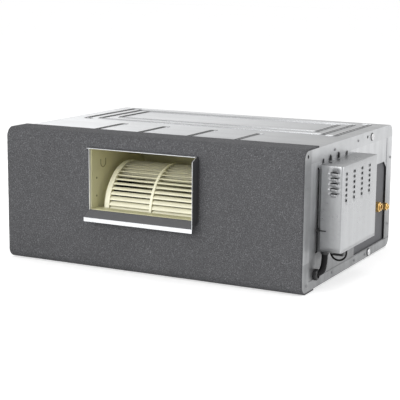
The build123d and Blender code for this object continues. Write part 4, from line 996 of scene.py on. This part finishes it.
def addBoardParts():
    b = boardParts
    x = b["x"]
    cans, chips, plugs, bands = bmesh.new(), bmesh.new(), bmesh.new(), bmesh.new()
    for y, z, r, high in b["cans"]:
        addLathe(cans, [(0.0, r), (high - 1.2, r), (high - 0.7, r - 0.4), (high, r - 0.6), (high, 0.3)], (x, y, z), (1, 0, 0), 24)
    for y, z, wide, high in b["chips"]:
        addBox(chips, (x + 0.8, y - wide / 2, z - high / 2), (x + 3.2, y + wide / 2, z + high / 2), 0.3)
        for i in range(int(wide / 2.5)):
            at = y - wide / 2 + 1.4 + 2.5 * i
            for side in (-1, 1):
                edge = z + side * high / 2
                addBox(cans, (x, at - 0.3, min(edge, edge + side * 1.6)), (x + 1.4, at + 0.3, max(edge, edge + side * 1.6)))
    for y, z, wide in b["plugs"]:
        addBox(plugs, (x, y - wide / 2, z - 3.2), (x + 7.0, y + wide / 2, z + 3.2), 0.5)
        for i in range(int(wide / 5)):
            at = y - wide / 2 + 3.0 + 5.0 * i
            addBox(cans, (x + 6.6, at - 0.5, z - 0.5), (x + 8.4, at + 0.5, z + 0.5), 0.1)
    for i in range(b["resistors"]):
        y = -158.0 + 7.5 * (i % 7)
        z = 236.0 + 12.0 * (i // 7)
        addLathe(bands, [(0.0, 0.9), (0.5, 1.4), (3.5, 1.2), (6.5, 1.4), (7.0, 0.9)], (x + 1.8, y, z), (0, 0, 1), 14)
        addLathe(cans, [(-2.0, 0.3), (9.0, 0.3)], (x + 1.8, y, z), (0, 0, 1), 8)
    addPiece("boardCans", cans, "alloy", "casing")
    addPiece("boardChips", chips, "black", "casing")
    addPiece("boardPlugs", plugs, "white", "casing")
    addPiece("boardResistors", bands, "scroll", "casing")


def addWinding():
    bm = bmesh.new()
    y, z, x = -226.0, 272.0, 521.0
    turns, steps = 12, 28
    path = []
    for i in range(turns * steps + 1):
        a = 2 * math.pi * i / steps
        reach = 0.86 / max(abs(math.cos(a)), abs(math.sin(a))) ** 0.55
        path.append(Vector((x + 17.0 * reach * math.cos(a) * 0.95, y + 24.6 * reach * math.sin(a) * 0.78, z - 14.0 + 28.0 * i / (turns * steps))))
    addTube(bm, path, lambda i: 1.1, 8)
    addPiece("winding", bm, "copper", "casing")


def addTerminals():
    bm = bmesh.new()
    for i in range(7):
        y = -65.0 + 10.0 * i
        for z in (137.0, 155.0):
            addScrew(bm, (524.0, y, z), (1, 0, 0), 3.0)
    addPiece("terminalScrews", bm, "screw", "casing")


leads = {"r": 1.1, "colors": {"leadRed": (0.42, 0.02, 0.02), "leadBlue": (0.02, 0.06, 0.34), "leadYellow": (0.56, 0.40, 0.03),
                              "leadBrown": (0.12, 0.045, 0.02)}}
leadRoutes = {
    "leadRed": (((518.5, -188, 250), (530, -170, 236), (528, -110, 176), (526, -62, 170), (525, -55, 158)),
                ((518.5, -60, 204), (532, -58, 196), (532, -44, 178), (525, -45, 158))),
    "leadBlue": (((518.5, -185, 218), (532, -150, 206), (530, -84, 178), (527, -36, 172), (525, -35, 158)),
                 ((540, -214, 240), (545, -190, 222), (534, -150, 198), (519, -124, 190))),
    "leadYellow": (((518.5, -120, 204), (534, -116, 198), (536, -80, 150), (530, -60, 124), (525, -45, 134)),
                   ((518.5, -70, 204), (530, -72, 196), (534, -76, 150), (526, -25, 126), (525, -15, 134))),
    "leadBrown": (((540, -238, 242), (545, -240, 200), (530, -252, 150), (519.5, -254, 112)),
                  ((525, -65, 134), (533, -84, 120), (532, -150, 118), (522, -240, 122), (519.5, -252, 112))),
}


def addLeads():
    for leadName, routes in leadRoutes.items():
        finishes[leadName] = mouldedPlastic(leadName, leads["colors"][leadName], leads["colors"][leadName], gloss=0.34, dust=0.04)
        bm = bmesh.new()
        for route in routes:
            addTube(bm, evenPath(smoothPath(route, 12), 3.0), lambda i: leads["r"], 10)
        addPiece(leadName, bm, leadName, "casing")


addBoardParts()
addWinding()
addTerminals()
addLeads()
print("control box insides done")


# Filter screen as a woven grid
grille = {"y": 332.5, "x": (-494.0, 464.0), "z": (47.0, 357.0), "pitch": 6.2, "r": 0.45}


def makeScreen():
    g = grille
    bm = bmesh.new()
    (x0, x1), (z0, z1) = g["x"], g["z"]
    for i, x in enumerate(cuts([x0, x1], g["pitch"])):
        shift = 0.25 if i % 2 else -0.25
        addBox(bm, (x - g["r"], g["y"] + shift - 0.3, z0), (x + g["r"], g["y"] + shift + 0.3, z1))
    for i, z in enumerate(cuts([z0, z1], g["pitch"])):
        shift = -0.25 if i % 2 else 0.25
        addBox(bm, (x0, g["y"] + shift - 0.3, z - g["r"]), (x1, g["y"] + shift + 0.3, z + g["r"]))
    piece = addPiece("filterScreen", bm, "screen", "filter")
    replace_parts(piece, "filter_mesh")


makeScreen()
print("filter screen done")


# Camera at the photograph's angle
shot = {"lens": 107.35, "azimuth": 27.40, "elevation": 10.61, "roll": 0.51, "place": (1.7327, -3.3747, 0.8796)}


def addCamera():
    az, el, roll = (math.radians(shot[key]) for key in ("azimuth", "elevation", "roll"))
    back = Vector((math.sin(az) * math.cos(el), -math.cos(az) * math.cos(el), math.sin(el)))
    right = Vector((math.cos(az), math.sin(az), 0.0))
    up = back.cross(right)
    tiltedRight = right * math.cos(roll) + up * math.sin(roll)
    tiltedUp = up * math.cos(roll) - right * math.sin(roll)
    camera = bpy.data.objects.new("camera", bpy.data.cameras.new("camera"))
    turn = Matrix((tiltedRight, tiltedUp, back)).transposed().to_4x4()
    camera.matrix_world = Matrix.Translation(shot["place"]) @ turn
    camera.data.lens = shot["lens"]
    camera.data.sensor_width = 36.0
    camera.data.clip_start = 0.1
    bpy.context.collection.objects.link(camera)
    bpy.context.scene.camera = camera


# Soft boxes around the unit
lamps = {
    "overhead": {"at": (0.3, 0.6, 3.2), "size": (2.6, 1.6), "power": 15.0},
    "backLeft": {"at": (-2.3, 2.4, 1.5), "size": (0.9, 0.5), "power": 2.2},
    "rightSide": {"at": (3.4, 0.2, 1.5), "size": (2.4, 2.4), "power": 33.0},
    "frontFill": {"at": (-0.9, -3.8, 1.5), "size": (2.8, 2.4), "power": 90.0},
}
aim = Vector((0.0, 0.0, 0.2))


def addLamps():
    for lampName, lamp in lamps.items():
        data = bpy.data.lights.new(lampName, "AREA")
        data.shape = "RECTANGLE"
        data.size, data.size_y = lamp["size"]
        data.energy = lamp["power"]
        piece = bpy.data.objects.new(lampName, data)
        piece.location = lamp["at"]
        piece.rotation_euler = (aim - Vector(lamp["at"])).to_track_quat("-Z", "Y").to_euler()
        bpy.context.collection.objects.link(piece)


studio = {"skyLight": 0.62, "floorTone": 0.86, "floorLift": 0.45, "floorSize": 60.0}


def raysSeen(tree):
    path = tree.nodes.new("ShaderNodeLightPath")
    total = path.outputs["Is Camera Ray"]
    for other in ("Is Glossy Ray", "Is Transmission Ray"):
        most = tree.nodes.new("ShaderNodeMath")
        most.operation = "MAXIMUM"
        tree.links.new(total, most.inputs[0])
        tree.links.new(path.outputs[other], most.inputs[1])
        total = most.outputs[0]
    return total


def addStudio():
    world = bpy.data.worlds.new("studio")
    world.use_nodes = True
    bpy.context.scene.world = world
    tree = world.node_tree
    tree.nodes.clear()
    lit = tree.nodes.new("ShaderNodeBackground")
    lit.inputs["Strength"].default_value = studio["skyLight"]
    lit.inputs["Color"].default_value = (1.0, 1.0, 1.0, 1.0)
    shown = tree.nodes.new("ShaderNodeBackground")
    shown.inputs["Color"].default_value = (1.0, 1.0, 1.0, 1.0)
    mix = tree.nodes.new("ShaderNodeMixShader")
    tree.links.new(raysSeen(tree), mix.inputs[0])
    tree.links.new(lit.outputs[0], mix.inputs[1])
    tree.links.new(shown.outputs[0], mix.inputs[2])
    tree.links.new(mix.outputs[0], tree.nodes.new("ShaderNodeOutputWorld").inputs[0])

    mesh = bpy.data.meshes.new("floor")
    half = studio["floorSize"] / 2
    corners = [(-half, -half, 0), (half, -half, 0), (half, half, 0), (-half, half, 0)]
    mesh.from_pydata(corners, [], [(0, 1, 2, 3)])
    floor = bpy.data.objects.new("floor", mesh)
    floor.location.z = cadBounds[0][2] - 0.0002
    bpy.context.collection.objects.link(floor)
    paint = bpy.data.materials.new("floorPaint")
    paint.use_nodes = True
    tree = paint.node_tree
    shader = tree.nodes["Principled BSDF"]
    tone = studio["floorTone"]
    shader.inputs["Base Color"].default_value = (tone, tone, tone, 1.0)
    shader.inputs["Roughness"].default_value = 0.9
    shader.inputs["Specular IOR Level"].default_value = 0.1
    shader.inputs["Emission Color"].default_value = (1.0, 1.0, 1.0, 1.0)
    lift = tree.nodes.new("ShaderNodeMath")
    lift.operation = "MULTIPLY"
    lift.inputs[1].default_value = studio["floorLift"]
    tree.links.new(raysSeen(tree), lift.inputs[0])
    tree.links.new(lift.outputs[0], shader.inputs["Emission Strength"])
    mesh.materials.append(paint)


addCamera()
addLamps()
addStudio()
bpy.context.scene.view_settings.view_transform = "Standard"
print("camera, lamps and floor done")
